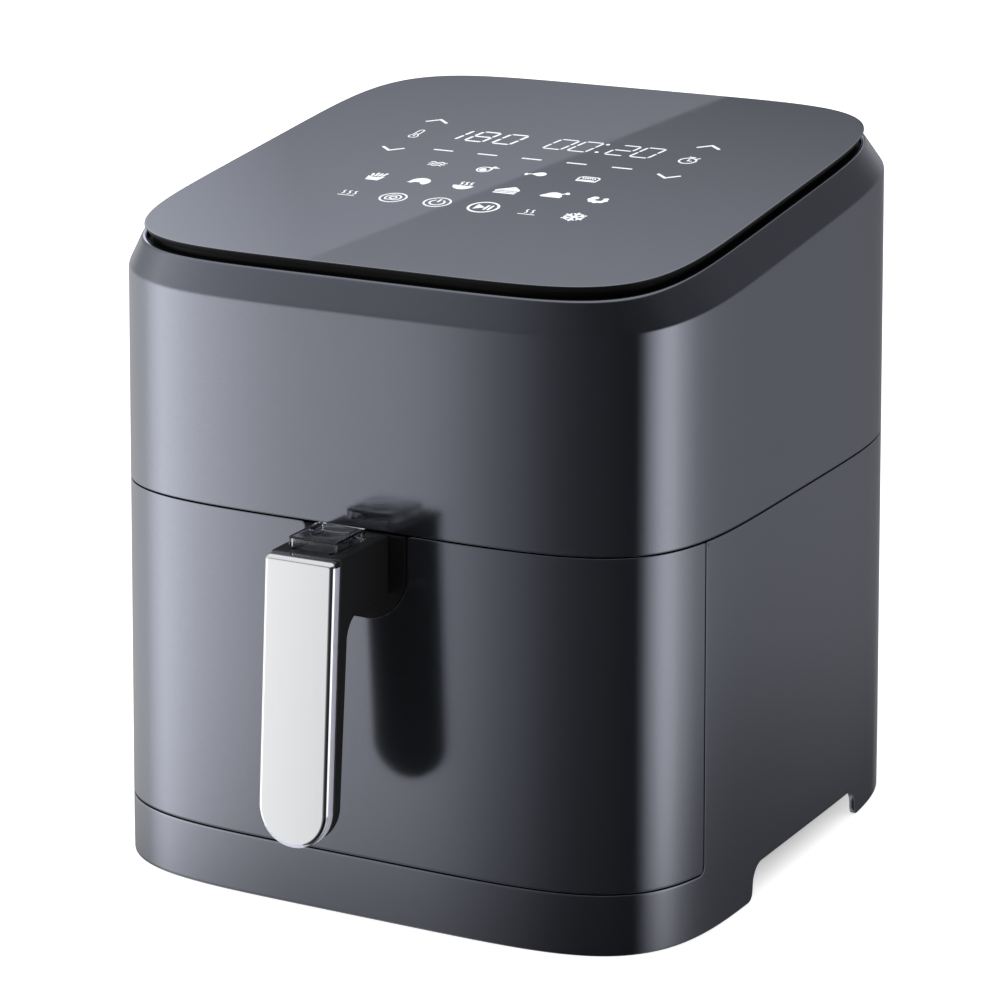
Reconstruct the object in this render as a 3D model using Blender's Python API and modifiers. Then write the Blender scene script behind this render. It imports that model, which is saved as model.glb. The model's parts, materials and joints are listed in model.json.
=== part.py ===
"""Countertop air fryer with a sliding drawer, built from separate named pieces.

Units are metres and +Z is up. The appliance faces -Y, and +X is on the right of someone who looks
at its front. Every shape is laid out around the centre of the body's plan. One empty then moves
the whole object, so that the middle of its footprint is the origin.
"""

import math

import bmesh
import bpy
from mathutils import Matrix, Vector

# ---------------------------------------------------------------- driving dimensions: body
HALF_WIDTH = 0.135            # outer wall at the split between lower and upper housing
HALF_DEPTH = 0.1374
PLAN_EXPONENT = 5.07          # superellipse that gives the soft square plan
PLAN_POINTS = 48
WALL_FLARE = 0.105            # growth of the plan per metre below the split
SPLIT_Z = 0.1667
SKIRT_BOTTOM_Z = 0.001
SEAM = 0.001                  # visible gap between the outer shells
WALL = 0.0025
CLEAR = 0.0004                # gap between pieces that touch
INSIDE = WALL + CLEAR         # inset of a piece that fits inside the outer shells
FAR = 0.2                     # reach of a cutter that runs out past the body

FRONT_REACH = 0.1920          # foremost point of the handle plate from the plan's centre
REAR_REACH = 0.1408           # rearmost point, on the cord gland
PLAN_CENTRE_Y = (FRONT_REACH - REAR_REACH) / 2

# ---------------------------------------------------------------- glass panel and the rim round it
PANEL_SLOPE = math.tan(math.radians(6.9))
GLASS_Z = 0.2886              # top of the glass above the plan's centre
GLASS_THICK = 0.0026
GLASS_HALF_WIDTH = 0.1248
GLASS_HALF_DEPTH = 0.1283
GLASS_CENTRE_Y = -0.0028
GLASS_EXPONENT = 5.6
LIP_DROP = 0.0043             # from the glass down to the rim round it
LIP_HALF_WIDTH = 0.0014
SHOULDER_DROP = 0.0176        # from the glass down to the crease where the wall starts
LEDGE_DROP = 0.0076           # from the glass down to the ledge that carries the tray
LEDGE_WIDTH = 0.0080
LEDGE_THICK = 0.0025
TRAY_OUTER = 0.0030           # how far inside the glass edge the tray's wall stands
TRAY_WALL = 0.0020
TRAY_FLANGE = 0.0400
TRAY_FLOOR_DROPS = (0.0060, 0.0072)

# ---------------------------------------------------------------- base, feet and cord gland
BASE_Z = 0.0180
BASE_THICK = 0.0023
BASE_TOP_Z = BASE_Z + BASE_THICK
FLOOR_Z = BASE_TOP_Z + CLEAR  # underside of the pieces that stand on the base
ARCH_FRONT_Y = -0.050
ARCH_REAR_Y = 0.061
ARCH_TOP_Z = 0.0170
ARCH_RADIUS = 0.008
ARCH_END_LEAN = 0.001         # run of the arch's end faces
FOOT_NAMES = ("front_left", "front_right", "rear_left", "rear_right")
FOOT_PLACES = [(x, y) for y in (-0.100, 0.102) for x in (-0.098, 0.098)]
FOOT_RADIUS = 0.0105
FOOT_HEIGHT = 0.0039
FOOT_CHAMFER = 0.0007
PILLAR_RADIUS = 0.0120
BASE_SCREW_PLACES = [(x, y) for y in (-0.1120, 0.1225) for x in (-0.050, 0.050)]
GLAND_X = 0.060
GLAND_Z = 0.050
GLAND_Y = 0.1408              # rear face of the gland
GLAND_BORE = 0.0040
GLAND_NECK = 0.0055

# ---------------------------------------------------------------- drawer
DRAWER_SIDE_Y = -0.0895       # where the drawer front ends on the side walls
DRAWER_BOTTOM_Z = 0.027
FRAME_TOP_Z = 0.1625
FRAME_WALL = 0.0020
FRAME_BACK_Y = -0.1225
PAN_HALF_WIDTH = 0.1140
PAN_FRONT_Y = -0.1195
PAN_BACK_Y = 0.0955
PAN_BOTTOM_Z = 0.0295
PAN_TOP_Z = 0.1500
PAN_WALL = 0.0015
PAN_RADIUS = 0.028
PAN_RIM_REACH = 0.0018        # how far the rolled rim stands out from the pan's wall
BASKET_HALF_WIDTH = 0.1095
BASKET_FRONT_Y = -0.1150
BASKET_BACK_Y = 0.0910
BASKET_BOTTOM_Z = 0.0345
BASKET_TOP_Z = 0.1580
BASKET_WALL = 0.0012
BASKET_RADIUS = 0.025
BASKET_HOLES_A_SIDE = 6
BASKET_HOLE_PITCH = 0.030
BASKET_HOLE_RADIUS = 0.006
PAN_SCREW_PLACES = [(-0.070, 0.100), (0.070, 0.100)]
RIVET_PLACES = [(-0.010, 0.1556), (0.010, 0.1556)]
HANDLE_SCREW_PLACES = [(-0.0115, 0.1562), (0.0115, 0.1562)]
BRACKET_HALF_WIDTH = 0.0170

# ---------------------------------------------------------------- handle, guard, button and latch
NOTCH_HALF_WIDTH = 0.0234
NOTCH_BOTTOM_Z = 0.1300
NOTCH_RADIUS = 0.0195
HANDLE_HALF_WIDTH = 0.0160
HANDLE_TOP_Z = 0.1663
HANDLE_BOTTOM_Z = 0.0480
HANDLE_FRONT_Y = -0.1828      # face of the front plate at HANDLE_LEAN_Z
HANDLE_LEAN_Z = 0.1650
HANDLE_LEAN = 0.080           # outward run of the plate per metre of height
HANDLE_BLANK_Z = 0.03         # the bar's blanks start here, below its round lower end
HANDLE_BLANK_HALF_WIDTH = 0.0200
PLATE_THICK = 0.0051
PLATE_CHAMFER = 0.0019
GRIP_BACK_Y = -0.1732         # back of the grip at GRIP_BACK_Z
GRIP_BACK_Z = 0.1241
GRIP_BACK_LEAN = 0.0986
ARM_BOTTOM_Z = 0.1415
ARM_BACK_Y = -0.1389
ARM_FILLET = 0.0110
BOSS_FRONT_Y = -0.1385
BOSS_BACK_Y = -0.1246
LATCH_WAY_HALF_WIDTH = 0.0065  # slot through the arm and the boss in which the lever moves
LATCH_WAY_TOP_Z = 0.1600
BUTTON_Y = -0.1555
BUTTON_RADIUS = 0.0055
BUTTON_STEM_RADIUS = 0.0015
BUTTON_TOP_Z = 0.1660
BUTTON_SKIRT_Z = 0.1605
BUTTON_STEM_Z = 0.1518
GUARD_HALF_WIDTH = 0.01125
GUARD_FRONT_Y = -0.1720
GUARD_BACK_Y = -0.1480
GUARD_TOP_Z = 0.1711
GUARD_EDGE = 0.0012
DISH_Y = -0.1585
DISH_RADIUS = 0.0175          # of the sphere that hollows the thumb dish
DISH_DEPTH = 0.0022
RUNNER_X = 0.0085
RUNNER_HALF_WIDTH = 0.0007
LATCH_Y = -0.1345
LATCH_Z = 0.1500
LATCH_PIN_RADIUS = 0.0011
SPRING_Y = -0.1500
SPRING_RADIUS = 0.0020
SPRING_TURNS = 3

# ---------------------------------------------------------------- cooking chamber
DECK_Z = 0.1690
DECK_THICK = 0.0016
LINER_HALF_WIDTH = 0.1190
LINER_BACK_Y = 0.1130
LINER_FRONT_Y = -0.0855
LINER_RADIUS = 0.020
LINER_WALL = 0.0012
OPENING_FRAME_Y = (-0.0880, -0.0860)
OPENING_FRAME_TOP_Z = 0.1660
OPENING_HALF_WIDTH = 0.1186
OPENING_Z = (0.0250, 0.1640)
RAIL_OUTER_X = 0.1185
RAIL_INNER_X = 0.0980
RAIL_WEB_X = 0.1168
RAIL_FOOT_X = 0.1000
RAIL_SHELF_Z = (0.0268, 0.0288)
RAIL_TOP_Z = 0.0400
RAIL_FOOT_THICK = 0.0014
RAIL_Y = (-0.0850, 0.0925)

# ---------------------------------------------------------------- heater, air ways, fans and motor
SHEET = 0.0012                # wall of the dome and the duct
DOME_RADIUS = 0.0960
DOME_ROOF_Z = 0.2145
DOME_SHOULDER_Z = 0.2080
DOME_FLANGE_RADIUS = 0.1030
DOME_TURN_DEG = 2.3           # keeps the facets' edges off the terminal holes
HEATER_TUBE_RADIUS = 0.0032
HEATER_RADII = (0.0820, 0.0570)
HEATER_Z = 0.1800
TERMINAL_DEGS = (5, 22)
TERMINAL_RADII = (0.0820, 0.0720)
TERMINAL_TOP_Z = 0.2200
GUARD_RING_RADII = (0.0900, 0.0620, 0.0340)
GUARD_RING_Z = 0.1732
DUCT_HALF_WIDTH = 0.050
DUCT_Y = (0.1010, 0.1335)
DUCT_Z = (0.1770, 0.2100)
GRILLE_HALF_WIDTH = 0.0555
GRILLE_Y = (0.1338, 0.1360)
GRILLE_Z = (0.1850, 0.2300)
GRILLE_SLOTS = 8
GRILLE_PITCH = 0.0050
GRILLE_SLOT_HEIGHT = 0.0025
SHAFT_RADIUS = 0.0030
SHAFT_Z = (0.1850, 0.2256)
FAN_RADIUS = 0.0660
FAN_Z = (0.1900, 0.2035)
FAN_HUB_RADIUS = 0.0130
COOLER_RADIUS = 0.0480
COOLER_HUB_RADIUS = 0.0160
COOLER_Z = (0.2165, 0.2195)
COOLER_TWIST_DEG = 24
MOTOR_RADIUS = 0.0320
MOTOR_Z = (0.2262, 0.2500)
BRACKET_SHEET = 0.0014
BRACKET_TOP_Z = 0.2257
BRACKET_REACH = 0.0740
BRACKET_TOE = 0.0560
MOTOR_SCREW_PLACES = [(-0.020, 0), (0.020, 0)]
PROBE_PLACE = (0.086, 0.086)


# ---------------------------------------------------------------- scene and materials
def clear_scene():
    for old in list(bpy.data.objects):
        bpy.data.objects.remove(old, do_unlink=True)


def new_collection(name):
    collection = bpy.data.collections.new(name)
    bpy.context.scene.collection.children.link(collection)
    return collection


clear_scene()
PARTS = new_collection("air_fryer")
CUTTERS = new_collection("cutters")
CUTTERS.hide_render = True
MATERIALS = {}


def material(name, colour, roughness, metallic=0.0):
    made = bpy.data.materials.new(name)
    made.use_nodes = True
    shader = made.node_tree.nodes["Principled BSDF"]
    shader.inputs["Base Color"].default_value = (*colour, 1.0)
    shader.inputs["Roughness"].default_value = roughness
    shader.inputs["Metallic"].default_value = metallic
    MATERIALS[name] = made


def make_materials():
    material("body_paint", (0.17, 0.175, 0.20), 0.28, 0.6)
    material("panel_glass", (0.05, 0.05, 0.06), 0.08)
    material("black_plastic", (0.015, 0.015, 0.017), 0.4)
    material("chrome_plate", (0.80, 0.80, 0.82), 0.08, 1.0)
    material("clear_plastic", (0.6, 0.6, 0.62), 0.05)
    material("nonstick", (0.03, 0.03, 0.032), 0.35)
    material("sheet_steel", (0.55, 0.55, 0.55), 0.3, 1.0)
    material("rubber", (0.02, 0.02, 0.02), 0.8)
    material("circuit_board", (0.02, 0.12, 0.05), 0.5)
    material("fastener_steel", (0.6, 0.6, 0.6), 0.3, 1.0)
    material("element_steel", (0.25, 0.24, 0.23), 0.4, 1.0)


# ---------------------------------------------------------------- placing objects
def empty(name, location, parent=None):
    holder = bpy.data.objects.new(name, None)
    holder.empty_display_size = 0.02
    PARTS.objects.link(holder)
    holder.location = location
    holder.parent = parent
    return holder


def attach(obj, axis_name):
    """Parents an object to an empty on a joint's axis, without moving the object."""
    holder = AXES[axis_name]
    obj.parent = holder
    if holder.parent:
        obj.matrix_parent_inverse = Matrix.Translation(-holder.location)


def add_object(name, mesh, slot, axis_name="body"):
    """A piece of the fryer, or a hidden cutter when it has no material slot."""
    obj = bpy.data.objects.new(name, mesh)
    if slot:
        PARTS.objects.link(obj)
        mesh.materials.append(MATERIALS[slot])
    else:
        CUTTERS.objects.link(obj)
        obj.hide_render = True
        obj.display_type = "WIRE"
    attach(obj, axis_name)
    return obj


def from_bmesh(name, bm, slot, axis_name="body", smooth=False):
    bmesh.ops.recalc_face_normals(bm, faces=bm.faces)
    mesh = bpy.data.meshes.new(name)
    bm.to_mesh(mesh)
    bm.free()
    if smooth:
        mesh.shade_smooth()
        mesh.set_sharp_from_angle(angle=math.radians(35))
    return add_object(name, mesh, slot, axis_name)


# ---------------------------------------------------------------- outlines
def polar(radius, angle_deg):
    angle = math.radians(angle_deg)
    return (radius * math.cos(angle), radius * math.sin(angle))


def arc_points(centre, radius, start_deg, end_deg, steps):
    """Points of an arc; a full turn leaves out the repeated last point."""
    count = steps if abs(end_deg - start_deg) >= 360 else steps + 1
    points = []
    for step in range(count):
        u, v = polar(radius, start_deg + (end_deg - start_deg) * step / steps)
        points.append((centre[0] + u, centre[1] + v))
    return points


def rounded_rect(low, high, radius, steps=5):
    """Rectangle outline with rounded corners, anticlockwise from its right lower corner."""
    corners = [
        (high[0] - radius, low[1] + radius, -90),
        (high[0] - radius, high[1] - radius, 0),
        (low[0] + radius, high[1] - radius, 90),
        (low[0] + radius, low[1] + radius, 180),
    ]
    points = []
    for x, y, start in corners:
        points += arc_points((x, y), radius, start, start + 90, steps)
    return points


def superellipse(half_width, half_depth, exponent, centre_y=0.0):
    points = []
    for step in range(PLAN_POINTS):
        angle = 2 * math.pi * step / PLAN_POINTS
        c, s = math.cos(angle), math.sin(angle)
        x = half_width * math.copysign(abs(c) ** (2 / exponent), c)
        y = half_depth * math.copysign(abs(s) ** (2 / exponent), s)
        points.append((x, centre_y + y))
    return points


def wall_ring(height, inset=0.0, slope=0.0):
    """Ring on the outer wall, or inside it by inset. A sloped ring rises towards the back."""
    ring = []
    for x, y in superellipse(HALF_WIDTH - inset, HALF_DEPTH - inset, PLAN_EXPONENT):
        z = height + slope * y
        scale = 1.0 + WALL_FLARE * (SPLIT_Z - z)
        ring.append((x * scale, y * scale, z))
    return ring


def panel_ring(outset, drop):
    """Ring parallel to the glass edge: outset from it sideways and dropped below its top."""
    half_width = GLASS_HALF_WIDTH + outset
    half_depth = GLASS_HALF_DEPTH + outset
    outline = superellipse(half_width, half_depth, GLASS_EXPONENT, GLASS_CENTRE_Y)
    return [(x, y, panel_z(y, drop)) for x, y in outline]


def panel_z(y, drop):
    """Height at a depth below the sloped top of the glass."""
    return GLASS_Z - drop + PANEL_SLOPE * y


def runs_down_outside(profile):
    """True when a closed (radius, height) profile goes clockwise, as a Screw modifier needs."""
    pairs = zip(profile, profile[1:] + profile[:1])
    return sum(r0 * z1 - r1 * z0 for (r0, z0), (r1, z1) in pairs) < 0


# ---------------------------------------------------------------- solids
def box(name, low, high, slot=None, axis_name="body"):
    bm = bmesh.new()
    size = [b - a for a, b in zip(low, high)]
    middle = [(a + b) / 2 for a, b in zip(low, high)]
    placed = Matrix.Translation(middle) @ Matrix.Diagonal((*size, 1.0))
    bmesh.ops.create_cube(bm, size=1.0, matrix=placed)
    return from_bmesh(name, bm, slot, axis_name)


def middle_box(name, half_width, y_span, z_span, slot=None, axis_name="body"):
    """Box that is symmetric about the YZ plane."""
    low = (-half_width, y_span[0], z_span[0])
    high = (half_width, y_span[1], z_span[1])
    return box(name, low, high, slot, axis_name)


def round_edges(obj, width):
    bevel = obj.modifiers.new("rounded_edges", "BEVEL")
    bevel.width = width
    bevel.segments = 2
    bevel.limit_method = "ANGLE"
    bevel.angle_limit = math.radians(40)


def added_verts(geometry):
    return [item for item in geometry if isinstance(item, bmesh.types.BMVert)]


def extruded(name, outline, axis, low, high, slot=None, axis_name="body"):
    """Flat outline pushed along an axis: (y, z) along X, (x, z) along Y, (x, y) along Z."""
    bm = bmesh.new()
    index = "xyz".index(axis)
    corners = []
    for first, second in outline:
        corner = [first, second]
        corner.insert(index, low)
        corners.append(bm.verts.new(corner))
    face = bm.faces.new(corners)
    push = Vector((0, 0, 0))
    push[index] = high - low
    moved = bmesh.ops.extrude_face_region(bm, geom=[face])["geom"]
    bmesh.ops.translate(bm, vec=push, verts=added_verts(moved))
    return from_bmesh(name, bm, slot, axis_name)


def cylinder(name, centre, axis, radius, low, high, slot=None, axis_name="body", sides=24):
    """Round bar along an axis; centre holds the other two coordinates in X, Y, Z order."""
    outline = arc_points(centre, radius, 0, 360, sides)
    return extruded(name, outline, axis, low, high, slot, axis_name)


def turned(name, profile, centre, slot=None, axis_name="body", steps=32):
    """Solid of revolution about a vertical axis from a closed (radius, height) profile."""
    if not runs_down_outside(profile):
        profile = profile[::-1]
    bm = bmesh.new()
    points = [bm.verts.new((radius, 0.0, height)) for radius, height in profile]
    for here, there in zip(points, points[1:] + points[:1]):
        if here.co.x > 0 or there.co.x > 0:
            bm.edges.new((here, there))
    mesh = bpy.data.meshes.new(name)
    bm.to_mesh(mesh)
    bm.free()
    obj = add_object(name, mesh, slot, axis_name)
    obj.location = centre
    screw = obj.modifiers.new("turned", "SCREW")
    screw.steps = steps
    screw.render_steps = steps
    screw.use_merge_vertices = True
    screw.merge_threshold = 0.00001
    screw.use_smooth_shade = True
    return obj


def loft(name, rings, slot=None, axis_name="body", hollow=False, smooth=True):
    """Solid through a stack of rings: capped at its ends or, when hollow, closed on itself."""
    bm = bmesh.new()
    rows = [[bm.verts.new(point) for point in ring] for ring in rings]
    pairs = list(zip(rows, rows[1:]))
    if hollow:
        pairs.append((rows[-1], rows[0]))
    else:
        bm.faces.new(rows[0])
        bm.faces.new(rows[-1])
    for lower, upper in pairs:
        count = len(lower)
        for i in range(count):
            j = (i + 1) % count
            bm.faces.new((lower[i], lower[j], upper[j], upper[i]))
    return from_bmesh(name, bm, slot, axis_name, smooth)


def sloped_board(name, low, high, drops, slot):
    """Flat board parallel to the glass, between two depths below the glass's top."""
    corners = [(low[0], low[1]), (high[0], low[1]), (high[0], high[1]), (low[0], high[1])]
    rings = [[(x, y, panel_z(y, drop)) for x, y in corners] for drop in drops]
    return loft(name, rings, slot, smooth=False)


def tube(name, points, radius, slot, axis_name="body", bevel_resolution=1):
    curve = bpy.data.curves.new(name, "CURVE")
    curve.dimensions = "3D"
    spline = curve.splines.new("POLY")
    spline.points.add(len(points) - 1)
    for point, place in zip(spline.points, points):
        point.co = (*place, 1.0)
    curve.bevel_depth = radius
    curve.bevel_resolution = bevel_resolution
    curve.use_fill_caps = True
    return add_object(name, curve, slot, axis_name)


def sheet_from(obj, thickness):
    """Gives an open surface its sheet thickness, on the inner side."""
    sheet = obj.modifiers.new("sheet", "SOLIDIFY")
    sheet.thickness = thickness
    sheet.offset = -1.0
    sheet.use_even_offset = True


def open_tub(name, half_width, y_span, z_span, wall, radius, slot):
    """Open-topped tub with rounded upright corners."""
    bm = bmesh.new()
    outline = rounded_rect((-half_width, y_span[0]), (half_width, y_span[1]), radius)
    floor = bm.faces.new([bm.verts.new((x, y, z_span[0])) for x, y in outline])
    raised = bmesh.ops.extrude_edge_only(bm, edges=floor.edges[:])["geom"]
    bmesh.ops.translate(bm, vec=(0, 0, z_span[1] - z_span[0]), verts=added_verts(raised))
    tub = from_bmesh(name, bm, slot, "drawer")
    sheet_from(tub, wall)
    return tub


# ---------------------------------------------------------------- cutting and joining
def boolean(target, cutter, operation="DIFFERENCE"):
    modifier = target.modifiers.new(cutter.name, "BOOLEAN")
    modifier.object = cutter
    modifier.operation = operation
    modifier.solver = "EXACT"


def cut(target, *cutters):
    for cutter in cutters:
        boolean(target, cutter)


def join(target, *helpers):
    for helper in helpers:
        boolean(target, helper, "UNION")


def drill(target, axis, places, radius, low, high, axis_name="body"):
    """Cuts one round hole along an axis at each place."""
    for number, place in enumerate(places, 1):
        name = f"{target.name}_hole_{len(target.modifiers)}_{number}"
        cut(target, cylinder(name, place, axis, radius, low, high, axis_name=axis_name, sides=12))


# ---------------------------------------------------------------- outer shells
def make_upper_housing():
    crease = GLASS_Z - SHOULDER_DROP
    split = SPLIT_Z + SEAM / 2
    rings = [
        wall_ring(split),
        wall_ring(crease, slope=PANEL_SLOPE),
        panel_ring(LIP_HALF_WIDTH + 0.0008, LIP_DROP + 0.0008),
        panel_ring(LIP_HALF_WIDTH, LIP_DROP),
        panel_ring(-LIP_HALF_WIDTH, LIP_DROP),
        panel_ring(-LIP_HALF_WIDTH, LEDGE_DROP),
        panel_ring(-LEDGE_WIDTH, LEDGE_DROP),
        panel_ring(-LEDGE_WIDTH, LEDGE_DROP + LEDGE_THICK),
        wall_ring(crease - 0.001, WALL, PANEL_SLOPE),
        wall_ring(split, WALL),
    ]
    housing = loft("upper_housing", rings, "body_paint", hollow=True)
    play = 0.0005
    window_z = (GRILLE_Z[0] - play, GRILLE_Z[1] + play)
    cut(housing, middle_box("vent_window", GRILLE_HALF_WIDTH + play, (0.120, 0.150), window_z))


def make_lower_housing():
    rings = [
        wall_ring(SKIRT_BOTTOM_Z, 0.0015),
        wall_ring(SKIRT_BOTTOM_Z + 0.002),
        wall_ring(SPLIT_Z - SEAM / 2),
        wall_ring(SPLIT_Z - SEAM / 2, WALL),
        wall_ring(SKIRT_BOTTOM_Z, WALL),
    ]
    housing = loft("lower_housing", rings, "body_paint", hollow=True)
    opening = middle_box("drawer_opening", FAR, (-FAR, DRAWER_SIDE_Y + SEAM), (DRAWER_BOTTOM_Z - SEAM, FAR))
    arch = extruded("foot_arch", arch_outline(), "x", -FAR, FAR)
    gland_hole = cylinder("gland_hole", (GLAND_X, GLAND_Z), "y", GLAND_NECK + 0.0005, 0.120, 0.150)
    cut(housing, opening, arch, gland_hole)


def arch_outline():
    """Side view of the arch: open below, with rounded upper corners and leaning ends."""
    front = (ARCH_FRONT_Y + ARCH_RADIUS, ARCH_TOP_Z - ARCH_RADIUS)
    rear = (ARCH_REAR_Y - ARCH_RADIUS, ARCH_TOP_Z - ARCH_RADIUS)
    below = -0.01
    outline = [(ARCH_REAR_Y + ARCH_END_LEAN, below)]
    outline += arc_points(rear, ARCH_RADIUS, 0, 90, 4)
    outline += arc_points(front, ARCH_RADIUS, 90, 180, 4)
    outline.append((ARCH_FRONT_Y - ARCH_END_LEAN, below))
    return outline


def notch_outline(grow=0.0, top=FAR):
    """Front view of the U-shaped notch, open at the top."""
    side = NOTCH_HALF_WIDTH + grow
    bottom = NOTCH_BOTTOM_Z - grow
    radius = NOTCH_RADIUS + grow
    outline = [(side, top), (-side, top)]
    outline += arc_points((-side + radius, bottom + radius), radius, 180, 270, 6)
    outline += arc_points((side - radius, bottom + radius), radius, 270, 360, 6)
    return outline


def behind(name, y):
    """Cutter that takes away everything behind a plane of the drawer."""
    return middle_box(name, FAR, (y, FAR), (0.0, 2 * FAR), axis_name="drawer")


def make_drawer_front():
    rings = [
        wall_ring(DRAWER_BOTTOM_Z),
        wall_ring(SPLIT_Z - SEAM / 2),
        wall_ring(SPLIT_Z - SEAM / 2, WALL),
        wall_ring(DRAWER_BOTTOM_Z, WALL),
    ]
    front = loft("drawer_front", rings, "body_paint", "drawer", hollow=True)
    notch = extruded("front_notch", notch_outline(), "y", -FAR, -0.10, axis_name="drawer")
    cut(front, behind("front_side_limit", DRAWER_SIDE_Y), notch)
    make_drawer_frame(notch)


def make_drawer_frame(notch):
    """Black shell inside the painted front; the pan is screwed to its rear wall."""
    outer = [wall_ring(DRAWER_BOTTOM_Z + 0.001, INSIDE), wall_ring(FRAME_TOP_Z, INSIDE)]
    frame = loft("drawer_frame", outer, "black_plastic", "drawer")
    inset = INSIDE + FRAME_WALL
    inner = [wall_ring(0.010, inset), wall_ring(FRAME_TOP_Z - FRAME_WALL, inset)]
    hollow = loft("frame_hollow", inner, axis_name="drawer")
    cut(hollow, behind("frame_hollow_limit", FRAME_BACK_Y - FRAME_WALL))
    cut(frame, behind("frame_back_limit", FRAME_BACK_Y), hollow, notch)
    drill(frame, "y", PAN_SCREW_PLACES, 0.0020, -0.130, -0.120, "drawer")


def make_base():
    rings = [wall_ring(BASE_Z, INSIDE), wall_ring(BASE_TOP_Z, INSIDE)]
    base = loft("base_plate", rings, "black_plastic")
    for number, place in enumerate(FOOT_PLACES, 1):
        low, high = FOOT_HEIGHT + CLEAR, BASE_Z + 0.0005
        join(base, cylinder(f"pillar_{number}", place, "z", PILLAR_RADIUS, low, high))
    drill(base, "z", BASE_SCREW_PLACES, 0.0020, 0.010, 0.030)


def make_feet():
    profile = [(0, FOOT_HEIGHT), (FOOT_RADIUS, FOOT_HEIGHT), (FOOT_RADIUS, FOOT_CHAMFER),
               (FOOT_RADIUS - FOOT_CHAMFER, 0.0), (0, 0.0)]
    for name, (x, y) in zip(FOOT_NAMES, FOOT_PLACES):
        turned(f"foot_{name}", profile, (x, y, 0.0), "rubber", steps=16)


def make_gland():
    """Turned sleeve with a flange on each side of the rear wall."""
    profile = [(GLAND_BORE, 0.0), (0.0085, 0.0), (0.0085, 0.0012), (GLAND_NECK, 0.0020),
               (GLAND_NECK, 0.0056), (0.0080, 0.0056), (0.0080, 0.0076), (GLAND_BORE, 0.0076)]
    gland = turned("cord_gland", profile, (GLAND_X, GLAND_Y, GLAND_Z), "black_plastic", steps=24)
    gland.rotation_euler.x = math.radians(90)


# ---------------------------------------------------------------- control panel and boards
def make_panel():
    edge = 0.0005
    glass = [panel_ring(-0.0004, 0.0), panel_ring(0.0, edge), panel_ring(0.0, GLASS_THICK)]
    loft("touch_glass", glass, "panel_glass")
    top = GLASS_THICK + CLEAR
    upper, lower = TRAY_FLOOR_DROPS
    inner = TRAY_OUTER + TRAY_WALL
    tray = [
        panel_ring(-TRAY_OUTER, top),
        panel_ring(-TRAY_OUTER, lower),
        panel_ring(-TRAY_FLANGE, lower),
        panel_ring(-TRAY_FLANGE, upper),
        panel_ring(-inner, upper),
        panel_ring(-inner, top),
    ]
    loft("panel_tray", tray, "black_plastic", hollow=True)
    sloped_board("display_board", (-0.078, -0.070), (0.078, 0.070), (0.0054, 0.0040), "circuit_board")
    sloped_board("segment_display", (-0.052, 0.028), (0.052, 0.052), (0.0036, 0.0029), "black_plastic")


def make_control_board():
    drops = (0.0180, 0.0164)
    board = sloped_board("control_board", (-0.095, -0.070), (-0.030, 0.020), drops, "circuit_board")
    chips = [(-0.080, -0.050, 0.012), (-0.062, -0.030, 0.016), (-0.045, 0.0, 0.010)]
    for number, (x, y, width) in enumerate(chips, 1):
        under = panel_z(y, drops[0])
        low = (x - width / 2, y - width / 2, under - 0.006)
        high = (x + width / 2, y + width / 2, under + 0.0005)
        join(board, box(f"control_chip_{number}", low, high))


def make_power_board():
    """Board on two posts that stand on the heater dome's roof."""
    low_z, high_z = 0.2230, 0.2246
    sunk = high_z - 0.0006
    power = box("power_board", (0.020, -0.084, low_z), (0.080, -0.036, high_z), "circuit_board")
    relay = box("relay", (0.023, -0.080, sunk), (0.041, -0.056, 0.2400))
    transformer = box("transformer", (0.046, -0.080, sunk), (0.072, -0.056, 0.2430))
    capacitor = cylinder("capacitor", (0.062, -0.046), "z", 0.0065, sunk, 0.2460, sides=12)
    join(power, relay, transformer, capacitor)
    for number, place in enumerate([(0.030, -0.076), (0.070, -0.044)], 1):
        low, high = DOME_ROOF_Z + CLEAR, low_z + 0.0005
        join(power, cylinder(f"board_post_{number}", place, "z", 0.0030, low, high, sides=8))


# ---------------------------------------------------------------- cooking chamber
def make_liner():
    corner = LINER_HALF_WIDTH - LINER_RADIUS
    corner_y = LINER_BACK_Y - LINER_RADIUS
    outline = [(LINER_HALF_WIDTH, LINER_FRONT_Y)]
    outline += arc_points((corner, corner_y), LINER_RADIUS, 0, 90, 5)
    outline += arc_points((-corner, corner_y), LINER_RADIUS, 90, 180, 5)
    outline.append((-LINER_HALF_WIDTH, LINER_FRONT_Y))
    bm = bmesh.new()
    path = [bm.verts.new((x, y, FLOOR_Z)) for x, y in outline]
    edges = [bm.edges.new(pair) for pair in zip(path, path[1:])]
    raised = bmesh.ops.extrude_edge_only(bm, edges=edges)["geom"]
    bmesh.ops.translate(bm, vec=(0, 0, DECK_Z - CLEAR - FLOOR_Z), verts=added_verts(raised))
    mesh = bpy.data.meshes.new("chamber_liner")
    bm.to_mesh(mesh)
    bm.free()
    sheet_from(add_object("chamber_liner", mesh, "sheet_steel"), LINER_WALL)


def make_deck():
    rings = [wall_ring(DECK_Z, INSIDE), wall_ring(DECK_Z + DECK_THICK, INSIDE)]
    deck = loft("chamber_deck", rings, "sheet_steel")
    cut(deck, cylinder("heater_hole", (0, 0), "z", DOME_RADIUS, 0.160, 0.180, sides=48))
    drill(deck, "z", [PROBE_PLACE], 0.0030, 0.160, 0.180)


def make_opening_frame():
    rings = [wall_ring(FLOOR_Z, INSIDE), wall_ring(OPENING_FRAME_TOP_Z, INSIDE)]
    frame = loft("opening_frame", rings, "black_plastic")
    front = middle_box("opening_front_limit", FAR, (-FAR, OPENING_FRAME_Y[0]), (0.0, FAR))
    back = middle_box("opening_back_limit", FAR, (OPENING_FRAME_Y[1], FAR), (0.0, FAR))
    way = middle_box("opening_way", OPENING_HALF_WIDTH, (-FAR, 0.0), OPENING_Z)
    cut(frame, front, back, way)


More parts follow.
